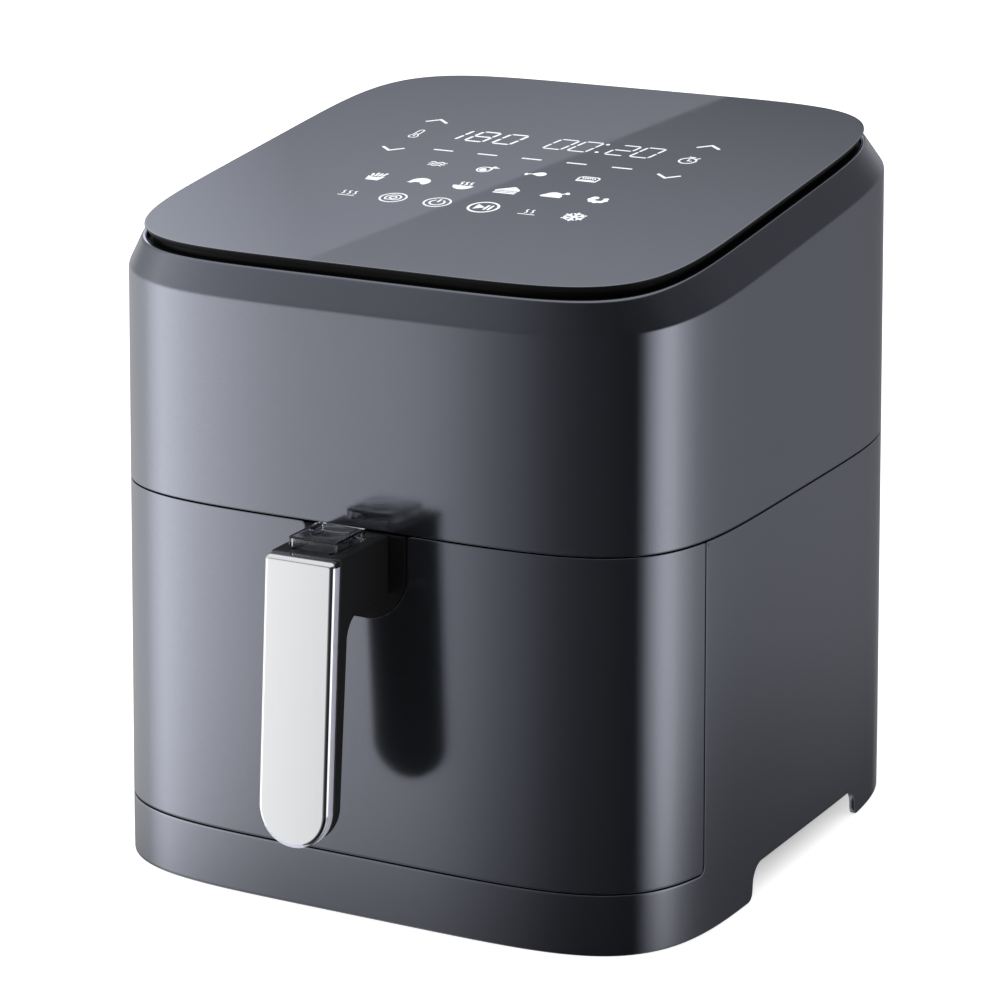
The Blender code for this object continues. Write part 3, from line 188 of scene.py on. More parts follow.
def ramp(tree, factor, stops, interpolation="LINEAR"):
    """Colour ramp from (position, colour or grey) stops."""
    made = node(tree, "ShaderNodeValToRGB", {0: factor})
    made.color_ramp.interpolation = interpolation
    elements = made.color_ramp.elements
    elements.remove(elements[1])
    for number, (place, colour) in enumerate(stops):
        element = elements[0] if number == 0 else elements.new(place)
        element.position = place
        if isinstance(colour, (int, float)):
            colour = (colour, colour, colour)
        element.color = (*colour, 1.0)
    return made.outputs["Color"]


def noise(tree, where, scale, detail=2.0, roughness=0.5):
    inputs = {"Vector": where, "Scale": scale, "Detail": detail, "Roughness": roughness}
    return node(tree, "ShaderNodeTexNoise", inputs).outputs["Fac"]


def spread(tree, factor, low, high, start=0.0, end=1.0):
    """Maps a 0 to 1 pattern to the range low to high."""
    inputs = {"Value": factor, "From Min": start, "From Max": end, "To Min": low, "To Max": high}
    return node(tree, "ShaderNodeMapRange", inputs).outputs[0]


def object_place(tree, stretch=(1, 1, 1)):
    where = node(tree, "ShaderNodeTexCoord").outputs["Object"]
    if stretch == (1, 1, 1):
        return where
    return node(tree, "ShaderNodeMapping", {"Vector": where, "Scale": stretch}).outputs[0]


def bump(tree, shader, height, distance, strength=1.0):
    inputs = {"Height": height, "Distance": distance, "Strength": strength}
    tree.links.new(node(tree, "ShaderNodeBump", inputs).outputs[0], shader.inputs["Normal"])


def new_material(name, **sockets):
    """Material with a Principled shader and values set on its own sockets."""
    made = bpy.data.materials.new(name)
    made.use_nodes = True
    tree = made.node_tree
    shader = tree.nodes["Principled BSDF"]
    for key, value in sockets.items():
        shader.inputs[key.replace("_", " ")].default_value = value
    return made, tree, shader


def colour_mix(tree, factor, dark, light):
    return ramp(tree, factor, [(0.0, dark), (1.0, light)])


# ---------------------------------------------------------------- materials
def paint_material():
    """Grey lacquer with fine metal flake and a trace of orange peel."""
    made, tree, shader = new_material("grey_lacquer", Metallic=0.965)
    where = object_place(tree)
    flake = node(tree, "ShaderNodeTexVoronoi", {"Vector": where, "Scale": 2600.0}).outputs["Color"]
    flake = node(tree, "ShaderNodeSeparateColor", {0: flake}).outputs[0]
    tint = colour_mix(tree, flake, (0.176, 0.184, 0.214), (0.194, 0.202, 0.236))
    tree.links.new(tint, shader.inputs["Base Color"])
    cloud = noise(tree, where, 18.0, 3.0)
    tree.links.new(spread(tree, cloud, 0.12, 0.15), shader.inputs["Roughness"])
    bump(tree, shader, noise(tree, where, 420.0, 1.0), 0.000006, 0.25)
    return made


def glass_material():
    """Dark back-printed glass, with faint wipe marks in its gloss."""
    made, tree, shader = new_material("panel_glass", IOR=1.5)
    where = object_place(tree)
    shade = colour_mix(tree, noise(tree, where, 9.0, 2.0), (0.0085, 0.0088, 0.0105), (0.011, 0.0113, 0.013))
    tree.links.new(shade, shader.inputs["Base Color"])
    wipes = noise(tree, object_place(tree, (1.0, 6.0, 1.0)), 14.0, 4.0, 0.6)
    tree.links.new(spread(tree, wipes, 0.0, 0.02, 0.35, 0.75), shader.inputs["Roughness"])
    return made


def plastic_material(name, dark, light, rough, grain_scale, grain_depth, ior=1.47):
    """Moulded plastic with a fine spark-eroded grain."""
    made, tree, shader = new_material(name, IOR=ior)
    where = object_place(tree)
    shade = colour_mix(tree, noise(tree, where, 30.0, 3.0), dark, light)
    tree.links.new(shade, shader.inputs["Base Color"])
    grain = noise(tree, where, grain_scale, 3.0, 0.6)
    tree.links.new(spread(tree, grain, rough - 0.05, rough + 0.06), shader.inputs["Roughness"])
    bump(tree, shader, grain, grain_depth, 0.6)
    return made


def chrome_material():
    """Bright plating with hairline polishing marks."""
    made, tree, shader = new_material("bright_chrome", Metallic=1.0)
    lines = noise(tree, object_place(tree, (300.0, 40.0, 4.0)), 6.0, 2.0)
    tint = colour_mix(tree, lines, (0.735, 0.74, 0.755), (0.775, 0.78, 0.795))
    tree.links.new(tint, shader.inputs["Base Color"])
    tree.links.new(spread(tree, lines, 0.05, 0.11), shader.inputs["Roughness"])
    bump(tree, shader, lines, 0.000002, 0.3)
    return made


def satin_painted_sheen_material():
    """Brushed sides of the plate, a little lilac: the streaks are real brushing, and the lighter lilac tint
    is painted sheen.
    """
    made, tree, shader = new_material("satin_side_painted_sheen", Metallic=0.45)
    lines = noise(tree, object_place(tree, (40.0, 40.0, 900.0)), 5.0, 3.0)
    tint = colour_mix(tree, lines, (0.80, 0.82, 0.97), (0.86, 0.88, 1.0))
    tree.links.new(tint, shader.inputs["Base Color"])
    tree.links.new(spread(tree, lines, 0.38, 0.48), shader.inputs["Roughness"])
    return made


def clear_material():
    made, tree, shader = new_material("clear_plastic", IOR=1.49)
    shader.inputs["Transmission Weight"].default_value = 1.0
    shader.inputs["Base Color"].default_value = (0.91, 0.92, 0.94, 1.0)
    haze = noise(tree, object_place(tree), 260.0, 3.0)
    tree.links.new(spread(tree, haze, 0.0, 0.012, 0.3, 0.8), shader.inputs["Roughness"])
    return made


def print_material():
    """White ceramic print that the panel's lamps light from behind."""
    made, tree, shader = new_material("white_print", Roughness=0.35)
    shader.inputs["Emission Strength"].default_value = 0.55
    where = object_place(tree)
    tint = colour_mix(tree, noise(tree, where, 900.0, 2.0), (0.80, 0.81, 0.84), (0.90, 0.91, 0.94))
    tree.links.new(tint, shader.inputs["Base Color"])
    tree.links.new(tint, shader.inputs["Emission Color"])
    return made


def coating_material():
    """Dark non-stick coating with pale specks."""
    made, tree, shader = new_material("nonstick_coating", IOR=1.45)
    where = object_place(tree)
    cell = node(tree, "ShaderNodeTexVoronoi", {"Vector": where, "Scale": 420.0}).outputs["Distance"]
    stops = [(0.0, (0.24, 0.24, 0.25)), (0.16, (0.034, 0.034, 0.036)), (1.0, (0.028, 0.028, 0.030))]
    speck = ramp(tree, cell, stops)
    tree.links.new(speck, shader.inputs["Base Color"])
    cloud = noise(tree, where, 700.0, 3.0)
    tree.links.new(spread(tree, cloud, 0.28, 0.42), shader.inputs["Roughness"])
    bump(tree, shader, cloud, 0.00002, 0.5)
    return made


def steel_material(name, dark, light, rough, stretch):
    """Rolled sheet: fine streaks along one direction."""
    made, tree, shader = new_material(name, Metallic=1.0)
    streak = noise(tree, object_place(tree, stretch), 8.0, 4.0, 0.65)
    tree.links.new(colour_mix(tree, streak, dark, light), shader.inputs["Base Color"])
    tree.links.new(spread(tree, streak, rough - 0.07, rough + 0.09), shader.inputs["Roughness"])
    bump(tree, shader, streak, 0.000008, 0.4)
    return made


def board_material():
    """Green solder mask with paler copper runs."""
    made, tree, shader = new_material("circuit_board", Roughness=0.35)
    where = object_place(tree)
    inputs = {"Vector": where, "Scale": 90.0, "Mortar Size": 0.03}
    runs = node(tree, "ShaderNodeTexBrick", inputs).outputs["Fac"]
    tint = colour_mix(tree, runs, (0.008, 0.055, 0.022), (0.02, 0.14, 0.05))
    tree.links.new(tint, shader.inputs["Base Color"])
    bump(tree, shader, runs, 0.00003, 0.5)
    return made


# Each plastic: dark and light colour, roughness, grain scale, grain depth and, for the blackest, a low IOR.
PLASTICS = {
    "grip_plastic": ((0.0115, 0.0118, 0.0128), (0.015, 0.0153, 0.0165), 0.42, 2600.0, 0.00003),
    "gloss_black": ((0.004, 0.004, 0.0045), (0.006, 0.006, 0.0065), 0.16, 900.0, 0.000003),
    # the blackest, with its low IOR, dims gloss where the fryer lies in shade: on the boss under the arm, in
    # the recess under the glass, on the tray and the glass's edges; that darkness is painted shade
    "black_with_painted_shade": ((0.004, 0.004, 0.0045), (0.007, 0.007, 0.0075), 0.4, 1800.0, 0.00005, 1.2),
    "inner_plastic": ((0.010, 0.010, 0.011), (0.016, 0.016, 0.017), 0.5, 1500.0, 0.00005),
    "foot_rubber": ((0.012, 0.012, 0.012), (0.022, 0.022, 0.021), 0.78, 1100.0, 0.00008),
}
# Each metal: dark and light colour, roughness and how its streaks are stretched.
STEELS = {
    "sheet_steel": ((0.46, 0.46, 0.46), (0.60, 0.60, 0.60), 0.32, (4.0, 4.0, 60.0)),
    "zinc_plate": ((0.50, 0.50, 0.49), (0.62, 0.62, 0.62), 0.28, (90.0, 90.0, 90.0)),
    "heater_tube": ((0.10, 0.095, 0.09), (0.19, 0.18, 0.165), 0.45, (50.0, 50.0, 50.0)),
}
MATERIALS = {
    "paint": paint_material(),
    "glass": glass_material(),
    **{name: plastic_material(name, *values) for name, values in PLASTICS.items()},
    "chrome": chrome_material(),
    "satin_painted_sheen": satin_painted_sheen_material(),
    "clear": clear_material(),
    "print": print_material(),
    "coating": coating_material(),
    **{name: steel_material(name, *values) for name, values in STEELS.items()},
    "board": board_material(),
}
SLOT_MATERIALS = {
    "body_paint": "paint",
    "panel_glass": "glass",
    "black_plastic": "inner_plastic",
    "chrome_plate": "chrome",
    "clear_plastic": "clear",
    "nonstick": "coating",
    "sheet_steel": "sheet_steel",
    "rubber": "foot_rubber",
    "circuit_board": "board",
    "fastener_steel": "zinc_plate",
    "element_steel": "heater_tube",
}


# ---------------------------------------------------------------- mesh helpers
def finish_piece(name, bm, look, body, replaced=(), sharp_deg=None, second_look=None):
    """Turns a bmesh into a named piece that rides on a body and stands for CAD nodes."""
    bmesh.ops.recalc_face_normals(bm, faces=bm.faces)
    mesh = bpy.data.meshes.new(name)
    bm.to_mesh(mesh)
    bm.free()
    mesh.shade_smooth()
    if sharp_deg:
        mesh.set_sharp_from_angle(angle=math.radians(sharp_deg))
    mesh.materials.append(MATERIALS[look])
    if second_look:
        mesh.materials.append(MATERIALS[second_look])
    piece = bpy.data.objects.new(name, mesh)
    bpy.context.scene.collection.objects.link(piece)
    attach(piece, body)
    if replaced:
        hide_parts(*replaced)
    return piece


def bridge(bm, first, second, closed=True):
    """Quads between two rows of vertices."""
    count = len(first)
    for i in range(count if closed else count - 1):
        j = (i + 1) % count
        bm.faces.new((first[i], first[j], second[j], second[i]))


def add_rows(bm, rows, closed=True, loop=False, caps=False):
    """Skin through rows of points; with loop the last row meets the first one."""
    made = [[bm.verts.new(point) for point in row] for row in rows]
    for first, second in zip(made, made[1:]):
        bridge(bm, first, second, closed)
    if loop:
        bridge(bm, made[-1], made[0], closed)
    if caps:
        bm.faces.new(made[0])
        bm.faces.new(made[-1])
    return made


def arc(centre, radius, start_deg, end_deg, steps):
    points = []
    for step in range(steps + 1):
        angle = math.radians(start_deg + (end_deg - start_deg) * step / steps)
        points.append((centre[0] + radius * math.cos(angle), centre[1] + radius * math.sin(angle)))
    return points


def circle(centre, radius, steps):
    return arc(centre, radius, 0, 360, steps)[:-1]


def offset_outline(points, inset, closed=True):
    """Moves an outline to its left by inset, with mitred corners. Inset may differ from point to point."""
    count = len(points)
    insets = inset if isinstance(inset, (list, tuple)) else [inset] * count
    moved = []
    for i, (u, v) in enumerate(points):
        before = points[i - 1] if closed or i > 0 else None
        after = points[(i + 1) % count] if closed or i < count - 1 else None
        normals = []
        for a, b in ((before, (u, v)), ((u, v), after)):
            if a is None or b is None:
                continue
            du, dv = b[0] - a[0], b[1] - a[1]
            length = math.hypot(du, dv)
            normals.append((-dv / length, du / length))
        if len(normals) == 1:
            normals *= 2
        (n0u, n0v), (n1u, n1v) = normals
        share = insets[i] / (1 + n0u * n1u + n0v * n1v)
        moved.append((u + (n0u + n1u) * share, v + (n0v + n1v) * share))
    return moved


def subdivided(points, step, closed=True):
    """Adds points along an outline, so that none of its stretches is longer than step."""
    dense = []
    count = len(points)
    for i in range(count if closed else count - 1):
        (u0, v0), (u1, v1) = points[i], points[(i + 1) % count]
        parts = max(1, math.ceil(math.hypot(u1 - u0, v1 - v0) / step))
        dense += [(u0 + (u1 - u0) * k / parts, v0 + (v1 - v0) * k / parts) for k in range(parts)]
    if not closed:
        dense.append(points[-1])
    return dense


def rounded_corner(before, corner, after, radius, steps=6):
    """Points of the arc that rounds a corner between two straight stretches."""
    corner, before, after = Vector(corner), Vector(before), Vector(after)
    to_before = (before - corner).normalized()
    to_after = (after - corner).normalized()
    half = to_before.angle(to_after) / 2
    centre = corner + (to_before + to_after).normalized() * (radius / math.sin(half))
    start = corner + to_before * (radius / math.tan(half)) - centre
    end = corner + to_after * (radius / math.tan(half)) - centre
    sweep = start.angle_signed(end)
    points = []
    for step in range(steps + 1):
        turned = start.copy()
        turned.rotate(Matrix.Rotation(-sweep * step / steps, 2))
        points.append(tuple(centre + turned))
    return points


def rounded_polygon(corners, closed=True, steps=6):
    """Outline from (u, v, radius) corners; radius 0 keeps a corner as it is."""
    points = []
    count = len(corners)
    for i, (u, v, radius) in enumerate(corners):
        if radius == 0 or (not closed and i in (0, count - 1)):
            points.append((u, v))
            continue
        before, after = corners[i - 1][:2], corners[(i + 1) % count][:2]
        points += rounded_corner(before, (u, v), after, radius, steps)
    return points


def rounded_path(path, radii):
    """Rounded corners of a path, without its two ends."""
    points = []
    for before, corner, after, radius in zip(path, path[1:], path[2:], radii):
        points += rounded_corner(before, corner, after, radius)
    return points


def rounding(radius, steps=4):
    """(inset, depth) pairs of a rounded edge, from the face to the side."""
    pairs = []
    for step in range(steps + 1):
        angle = math.pi / 2 * step / steps
        pairs.append((radius * (1 - math.sin(angle)), radius * (1 - math.cos(angle))))
    return pairs


# ---------------------------------------------------------------- the body's plan
def superellipse_point(angle, half_width, half_depth, exponent):
    c, s = math.cos(angle), math.sin(angle)
    reach = (abs(c / half_width) ** exponent + abs(s / half_depth) ** exponent) ** (-1 / exponent)
    return reach * c, reach * s


class Plan:
    """The wall's plan at the split, measured by length from the middle of the front, towards +X."""

    STEPS = 7200

    def __init__(self):
        self.angles = [2 * math.pi * i / self.STEPS - math.pi / 2 for i in range(self.STEPS + 1)]
        places = [superellipse_point(a, HALF_WIDTH, HALF_DEPTH, PLAN_EXPONENT) for a in self.angles]
        self.lengths = [0.0]
        for here, there in zip(places, places[1:]):
            self.lengths.append(self.lengths[-1] + math.dist(here, there))
        self.total = self.lengths[-1]

    def angle_at(self, length):
        length %= self.total
        i = min(bisect.bisect_right(self.lengths, length), self.STEPS) - 1
        share = (length - self.lengths[i]) / (self.lengths[i + 1] - self.lengths[i])
        return self.angles[i] + (self.angles[i + 1] - self.angles[i]) * share

    def length_of(self, test):
        """First length, from the front's middle towards +X, at which test(x, y) is true."""
        for angle, length in zip(self.angles, self.lengths):
            if test(*superellipse_point(angle, HALF_WIDTH, HALF_DEPTH, PLAN_EXPONENT)):
                return length
        return self.total


PLAN = Plan()


def plan_normal(x, y):
    nx = math.copysign(abs(x / HALF_WIDTH) ** (PLAN_EXPONENT - 1) / HALF_WIDTH, x)
    ny = math.copysign(abs(y / HALF_DEPTH) ** (PLAN_EXPONENT - 1) / HALF_DEPTH, y)
    size = math.hypot(nx, ny)
    return nx / size, ny / size


def wall_at_angle(angle, z, depth=0.0):
    x, y = superellipse_point(angle, HALF_WIDTH, HALF_DEPTH, PLAN_EXPONENT)
    nx, ny = plan_normal(x, y)
    into_skirt = max(0.0, SKIRT_TOP_Z - z)
    scale = 1.0 + WALL_FLARE * (SPLIT_Z - z - SKIRT_CURVE * into_skirt ** 2 / SKIRT_TOP_Z)
    return (x * scale - nx * depth, CENTRE_Y + y * scale - ny * depth, z)


def wall_point(length, z, depth=0.0):
    """Point of the outer wall, or behind it by depth."""
    return wall_at_angle(PLAN.angle_at(length), z, depth)


def panel_point(angle, outset, drop):
    """Point parallel to the glass edge: outset from it sideways and dropped below its top."""
    half_width = GLASS_HALF_WIDTH + outset
    half_depth = GLASS_HALF_DEPTH + outset
    x, y = superellipse_point(angle, half_width, half_depth, GLASS_EXPONENT)
    y += GLASS_CENTRE_Y
    return (x, y, GLASS_Z - drop + PANEL_SLOPE * (y - CENTRE_Y))


# ---------------------------------------------------------------- shells drawn in the wall's chart
CDT_SCALE = 1000              # the triangulator gets its points in millimetres
CDT_INSIDE = 1                # it keeps what lies inside the outer edges
CDT_INSIDE_WITH_HOLES = 4     # it keeps that too, but leaves the holes open


def triangulate(places, edges, output):
    """Triangles between closed edges; where says which point each given place became."""
    scaled = [place * CDT_SCALE for place in places]
    points, _, faces, origins, _, _ = delaunay_2d_cdt(scaled, edges, [], output, 1e-6)
    where = {source: index for index, sources in enumerate(origins) for source in sources}
    return [(p.x / CDT_SCALE, p.y / CDT_SCALE) for p in points], faces, where


def fill_chart(boundary, step, rise):
    """Triangles over a closed (length, height) boundary, with a regular lattice of points inside."""
    squash = step / rise                # the chart is squashed, so that the lattice becomes square
    lengths = [u for u, v in boundary]
    heights = [v for u, v in boundary]
    edge = [Vector((u, v * squash)) for u, v in boundary]
    count = len(edge)
    inner = []
    columns = math.ceil((max(lengths) - min(lengths)) / step)
    rows = math.ceil((max(heights) - min(heights)) / rise)
    cells = {}
    for point in edge:
        cells.setdefault((int(point.x // step), int(point.y // step)), []).append(point)
    for row in range(1, rows):
        v = min(heights) + (max(heights) - min(heights)) * row / rows
        crossings = []
        for i in range(count):
            (u0, v0), (u1, v1) = boundary[i], boundary[(i + 1) % count]
            if (v0 > v) != (v1 > v):
                crossings.append(u0 + (u1 - u0) * (v - v0) / (v1 - v0))
        crossings.sort()
        for left, right in zip(crossings[::2], crossings[1::2]):
            for column in range(1, columns):
                u = min(lengths) + (max(lengths) - min(lengths)) * column / columns
                if not left + step / 2 < u < right - step / 2:
                    continue
                point = Vector((u, v * squash))
                home_u, home_v = int(point.x // step), int(point.y // step)
                around = [(home_u + du, home_v + dv) for du in (-1, 0, 1) for dv in (-1, 0, 1)]
                near = [p for cell in around for p in cells.get(cell, [])]
                if all((p - point).length > step * EDGE_DISTANCE for p in near):
                    inner.append(point)
    edges = [(i, (i + 1) % count) for i in range(count)]
    points, faces, where = triangulate(edge + inner, edges, CDT_INSIDE)
    return [(u, v / squash) for u, v in points], faces, where


def edge_profile(radius, thickness):
    """(inset, depth) pairs round an edge, from the outer face to the inner one."""
    back = min(BACK_EDGE, thickness / 5)
    far = max(thickness, radius + back)
    pairs = rounding(radius)
    pairs += [(inset, far - depth) for inset, depth in reversed(rounding(back, 2))]
    return pairs


def wrapped_shell(name, chains, body, replaced, closed_chain=False):
    """Painted shell over a region of the wall's chart.

    Each chain is (outline, edge radius), with the shell on its left. Open chains run the whole way round the
    body, the first one along the bottom and the second one back along the top; their ends meet at the middle
    of the back.
    """
    dense = [(subdivided(points, CHART_STEP, closed_chain), radius) for points, radius in chains]
    starts = [offset_outline(points, radius + SUPPORT, closed_chain) for points, radius in dense]
    boundary = list(starts[0])
    chain_index = [list(range(len(starts[0])))]
    if not closed_chain:
        low, high = starts[0][-1][1], starts[1][0][1]
        steps = math.ceil((high - low) / CHART_RISE)
        side = [low + (high - low) * k / steps for k in range(1, steps)]
        boundary += [(starts[0][-1][0], v) for v in side]
        chain_index.append(list(range(len(boundary), len(boundary) + len(starts[1]))))
        boundary += starts[1]
        boundary += [(starts[1][-1][0], v) for v in reversed(side)]
    chart, faces, where = fill_chart(boundary, CHART_STEP, CHART_RISE)
    bm = bmesh.new()
    outer = [bm.verts.new(wall_point(u, v)) for u, v in chart]
    inner = [bm.verts.new(wall_point(u, v, WALL)) for u, v in chart]
    for face in faces:
        bm.faces.new([outer[i] for i in face])
        bm.faces.new([inner[i] for i in reversed(face)])
    for (points, radius), index in zip(dense, chain_index):
        previous = [outer[where[i]] for i in index]
        for inset, depth in edge_profile(radius, WALL):
            row = offset_outline(points, inset, closed_chain)
            made = [bm.verts.new(wall_point(u, v, depth)) for u, v in row]
            bridge(bm, previous, made, closed_chain)
            previous = made
        bridge(bm, previous, [inner[where[i]] for i in index], closed_chain)
    if not closed_chain:
        bmesh.ops.remove_doubles(bm, verts=bm.verts, dist=WELD)
    finish_piece(name, bm, "paint", body, replaced)


def side_length(y):
    """Length along the plan at which the right-hand wall passes a depth y from the plan's centre."""
    return PLAN.length_of(lambda px, py: px > 0 and py >= y)


def make_lower_housing():
    half = PLAN.total / 2
    low = SKIRT_LOW_Z
    front, rear = side_length(ARCH_FRONT), side_length(ARCH_REAR)
    arch = [
        (front - ARCH_SLANT, low, ARCH_TOE_RADIUS),
        (front, ARCH_FRONT_Z, ARCH_RADIUS),
        (rear, ARCH_REAR_Z, ARCH_RADIUS),
        (rear + ARCH_SLANT, low, ARCH_TOE_RADIUS),
    ]
    mirrored = [(-u, v, radius) for u, v, radius in reversed(arch)]
    bottom = rounded_polygon([(-half, low, 0), *mirrored, *arch, (half, low, 0)], closed=False)
    top = LOWER_HIGH.z + TRIM
    side = side_length(FRONT_HIGH.y - CENTRE_Y) + SEAM - TRIM
    sill = FRONT_LOW.z - SEAM + TRIM
    corner = DRAWER_CORNER + SEAM
    upper = [(half, top, 0), (side, top, SIDE_CORNER), (side, sill, corner),
             (-side, sill, corner), (-side, top, SIDE_CORNER), (-half, top, 0)]
    chains = [(bottom, SKIRT_EDGE), (rounded_polygon(upper, closed=False), EDGE)]
    wrapped_shell("lower_shell", chains, "housing", ["lower_housing"])


def make_drawer_front():
    side = side_length(FRONT_HIGH.y - CENTRE_Y) + TRIM
    low, top = FRONT_LOW.z - TRIM, FRONT_HIGH.z + TRIM
    notch = NOTCH_HALF_WIDTH
    notch_arc = NOTCH_BOTTOM_Z + NOTCH_RADIUS
    right = notch - NOTCH_RADIUS
    path = [(-side, top), (-side, low), (side, low), (side, top), (notch, top), (notch, notch_arc)]
    outline = rounded_path(path, (DRAWER_CORNER, DRAWER_CORNER, DRAWER_TOP_CORNER, NOTCH_LIP_RADIUS))
    outline += arc((right, notch_arc), NOTCH_RADIUS, 0, -90, 16)
    outline += arc((-right, notch_arc), NOTCH_RADIUS, -90, -180, 16)
    path = [(-notch, notch_arc), (-notch, top), (-side, top), (-side, low)]
    outline += rounded_path(path, (NOTCH_LIP_RADIUS, DRAWER_TOP_CORNER))
    wrapped_shell("drawer_shell", [(outline, EDGE)], "drawer", ["drawer_front"], closed_chain=True)


# ---------------------------------------------------------------- upper housing
def bent(first, corner, last, steps):
    """Points of a soft bend from first to last that leans on corner."""
    points = []
    for step in range(steps + 1):
        t = step / steps
        leans = (((1 - t) ** 2, first), (2 * t * (1 - t), corner), (t ** 2, last))
        points.append(tuple(sum(weight * place[i] for weight, place in leans) for i in range(3)))
    return points


def between(first, last, share):
    return tuple(a + (b - a) * share for a, b in zip(first, last))


def lip_point(angle, turn_deg):
    """Point of the rounded lip; at turn 0 its surface looks sideways, and at 90 up."""
    turn = math.radians(turn_deg)
    return panel_point(angle, LIP_RADIUS * math.cos(turn), LIP_DROP + LIP_RADIUS * (1 - math.sin(turn)))


def upper_column(angle):
    """One column of the upper housing's outline, from the split up over the lip and down inside."""
    crease_z = SPLIT_Z
    for _ in range(6):
        y = wall_at_angle(angle, crease_z)[1]
        crease_z = GLASS_Z - SHOULDER_DROP + PANEL_SLOPE * (y - CENTRE_Y)
    crease = wall_at_angle(angle, crease_z)
    lip_start = lip_point(angle, LIP_START_DEG)
    below = wall_at_angle(angle, crease_z - CREASE_REACH)
    shoulder = math.dist(crease, lip_start)
    above = between(crease, lip_start, CREASE_REACH / shoulder)
    low = UPPER_LOW.z - TRIM
    column = [wall_at_angle(angle, low + inset, depth) for inset, depth in reversed(rounding(EDGE))]
    column.append(wall_at_angle(angle, low + EDGE + SUPPORT))
    column.append(wall_at_angle(angle, WINDOW_LOW_Z))
    column.append(wall_at_angle(angle, WINDOW_HIGH_Z))
    column += bent(below, crease, above, 7)
    column.append(between(crease, lip_start, 1 - LIP_SUPPORT / shoulder))
    for step in range(LIP_STEPS + 1):
        column.append(lip_point(angle, LIP_START_DEG + (LIP_END_DEG - LIP_START_DEG) * step / LIP_STEPS))
    column.append(panel_point(angle, -LIP_RADIUS, LIP_DROP + 2.2 * LIP_RADIUS))
    column.append(panel_point(angle, -LIP_RADIUS - 0.0002, LEDGE_DROP - 0.0003))
    column.append(panel_point(angle, -LIP_RADIUS - 0.0006, LEDGE_DROP))
    column.append(panel_point(angle, -LEDGE_REACH, LEDGE_DROP))
    column.append(panel_point(angle, -LEDGE_REACH, LEDGE_DROP + LEDGE_THICK))
    column.append(wall_at_angle(angle, crease_z - 0.0015, WALL))
    column.append(wall_at_angle(angle, WINDOW_HIGH_Z, WALL))
    column.append(wall_at_angle(angle, WINDOW_LOW_Z, WALL))
    column.append(wall_at_angle(angle, low + BACK_EDGE, WALL))
    column.append(wall_at_angle(angle, low, WALL - BACK_EDGE))
    return column


WINDOW_LOW_ROW = 6            # rows of upper_column at the vent window's lower and upper edge
WINDOW_HIGH_ROW = 7
INNER_ROWS = 5                # its last rows, down the inner side of the wall
RECESS_SHADE_ROWS = 6                # the rows before them, from the lip's inner side to the ledge under the glass; they are black, a painted shade in that narrow recess


def make_upper_housing():
    """Columns run round the body, with the vent window's sides on two of them."""
    edge = PLAN.length_of(lambda x, y: y > 0 and x <= WINDOW_HALF_WIDTH)
    lengths = spaced(0.0, edge, CHART_STEP) + spaced(edge, PLAN.total - edge, CHART_STEP)
    lengths += spaced(PLAN.total - edge, PLAN.total, CHART_STEP)
    columns = [upper_column(PLAN.angle_at(length)) for length in lengths]
    bm = bmesh.new()
    verts = [[bm.verts.new(point) for point in column] for column in columns]
    rows = len(verts[0])
    recess_shade_rows = range(rows - RECESS_SHADE_ROWS - INNER_ROWS, rows - INNER_ROWS)
    inner_high = rows - INNER_ROWS + 1
    inner_low = inner_high + 1
    count = len(columns)
    in_window = [edge - 1e-9 <= length < PLAN.total - edge - 1e-9 for length in lengths]
    for i in range(count):
        j = (i + 1) % count
        for row in range(rows):
            above = (row + 1) % rows
            if in_window[i] and row in (WINDOW_LOW_ROW, inner_high):
                continue
            face = bm.faces.new((verts[i][row], verts[j][row], verts[j][above], verts[i][above]))
            # the recess rows under the glass are black: painted shade
            face.material_index = int(row in recess_shade_rows)
        if in_window[i]:
            for outer, inner in ((WINDOW_LOW_ROW, inner_low), (WINDOW_HIGH_ROW, inner_high)):
                bm.faces.new((verts[i][outer], verts[j][outer], verts[j][inner], verts[i][inner]))
    for i in (lengths.index(edge), lengths.index(PLAN.total - edge)):
        bm.faces.new([verts[i][row] for row in (WINDOW_LOW_ROW, WINDOW_HIGH_ROW, inner_high, inner_low)])
    finish_piece("upper_shell", bm, "paint", "housing", ["upper_housing"], sharp_deg=50,
                 second_look="black_with_painted_shade")


def spaced(start, end, step):
    """Even steps from start up to, but without, end."""
    parts = max(1, round((end - start) / step))
    return [start + (end - start) * k / parts for k in range(parts)]


def plan_angles(step=CHART_STEP):
    return [PLAN.angle_at(length) for length in spaced(0.0, PLAN.total, step)]


# ---------------------------------------------------------------- glass and its tray
def make_glass():
    """Pane with ground edges; all but its top is black, as the print behind it is. That black's dimmed gloss
    on the edges is painted shade.
    """
    top = [(-0.0008, 0.0), (-0.0003, 0.0), (-0.00012, 0.00003), (-0.00003, 0.00012), (0.0, 0.0003)]
    low = [(outset, GLASS_THICK - rise)
           for outset, rise in ((-0.0010, 0.0005), (-0.00105, 0.00025), (-0.0012, 0.00008), (-0.0014, 0.0),
                                (-0.0020, 0.0))]
    rows = [[panel_point(angle, outset, drop) for angle in plan_angles()] for outset, drop in top + low]
    bm = bmesh.new()
    add_rows(bm, rows, caps=True)
    bm.faces.ensure_lookup_table()
    around = len(rows[0])
    for face in bm.faces[(len(top) - 1) * around:(len(rows) - 1) * around]:
        face.material_index = 1
    finish_piece("glass_panel", bm, "glass", "housing", ["touch_glass"],
                 second_look="black_with_painted_shade")


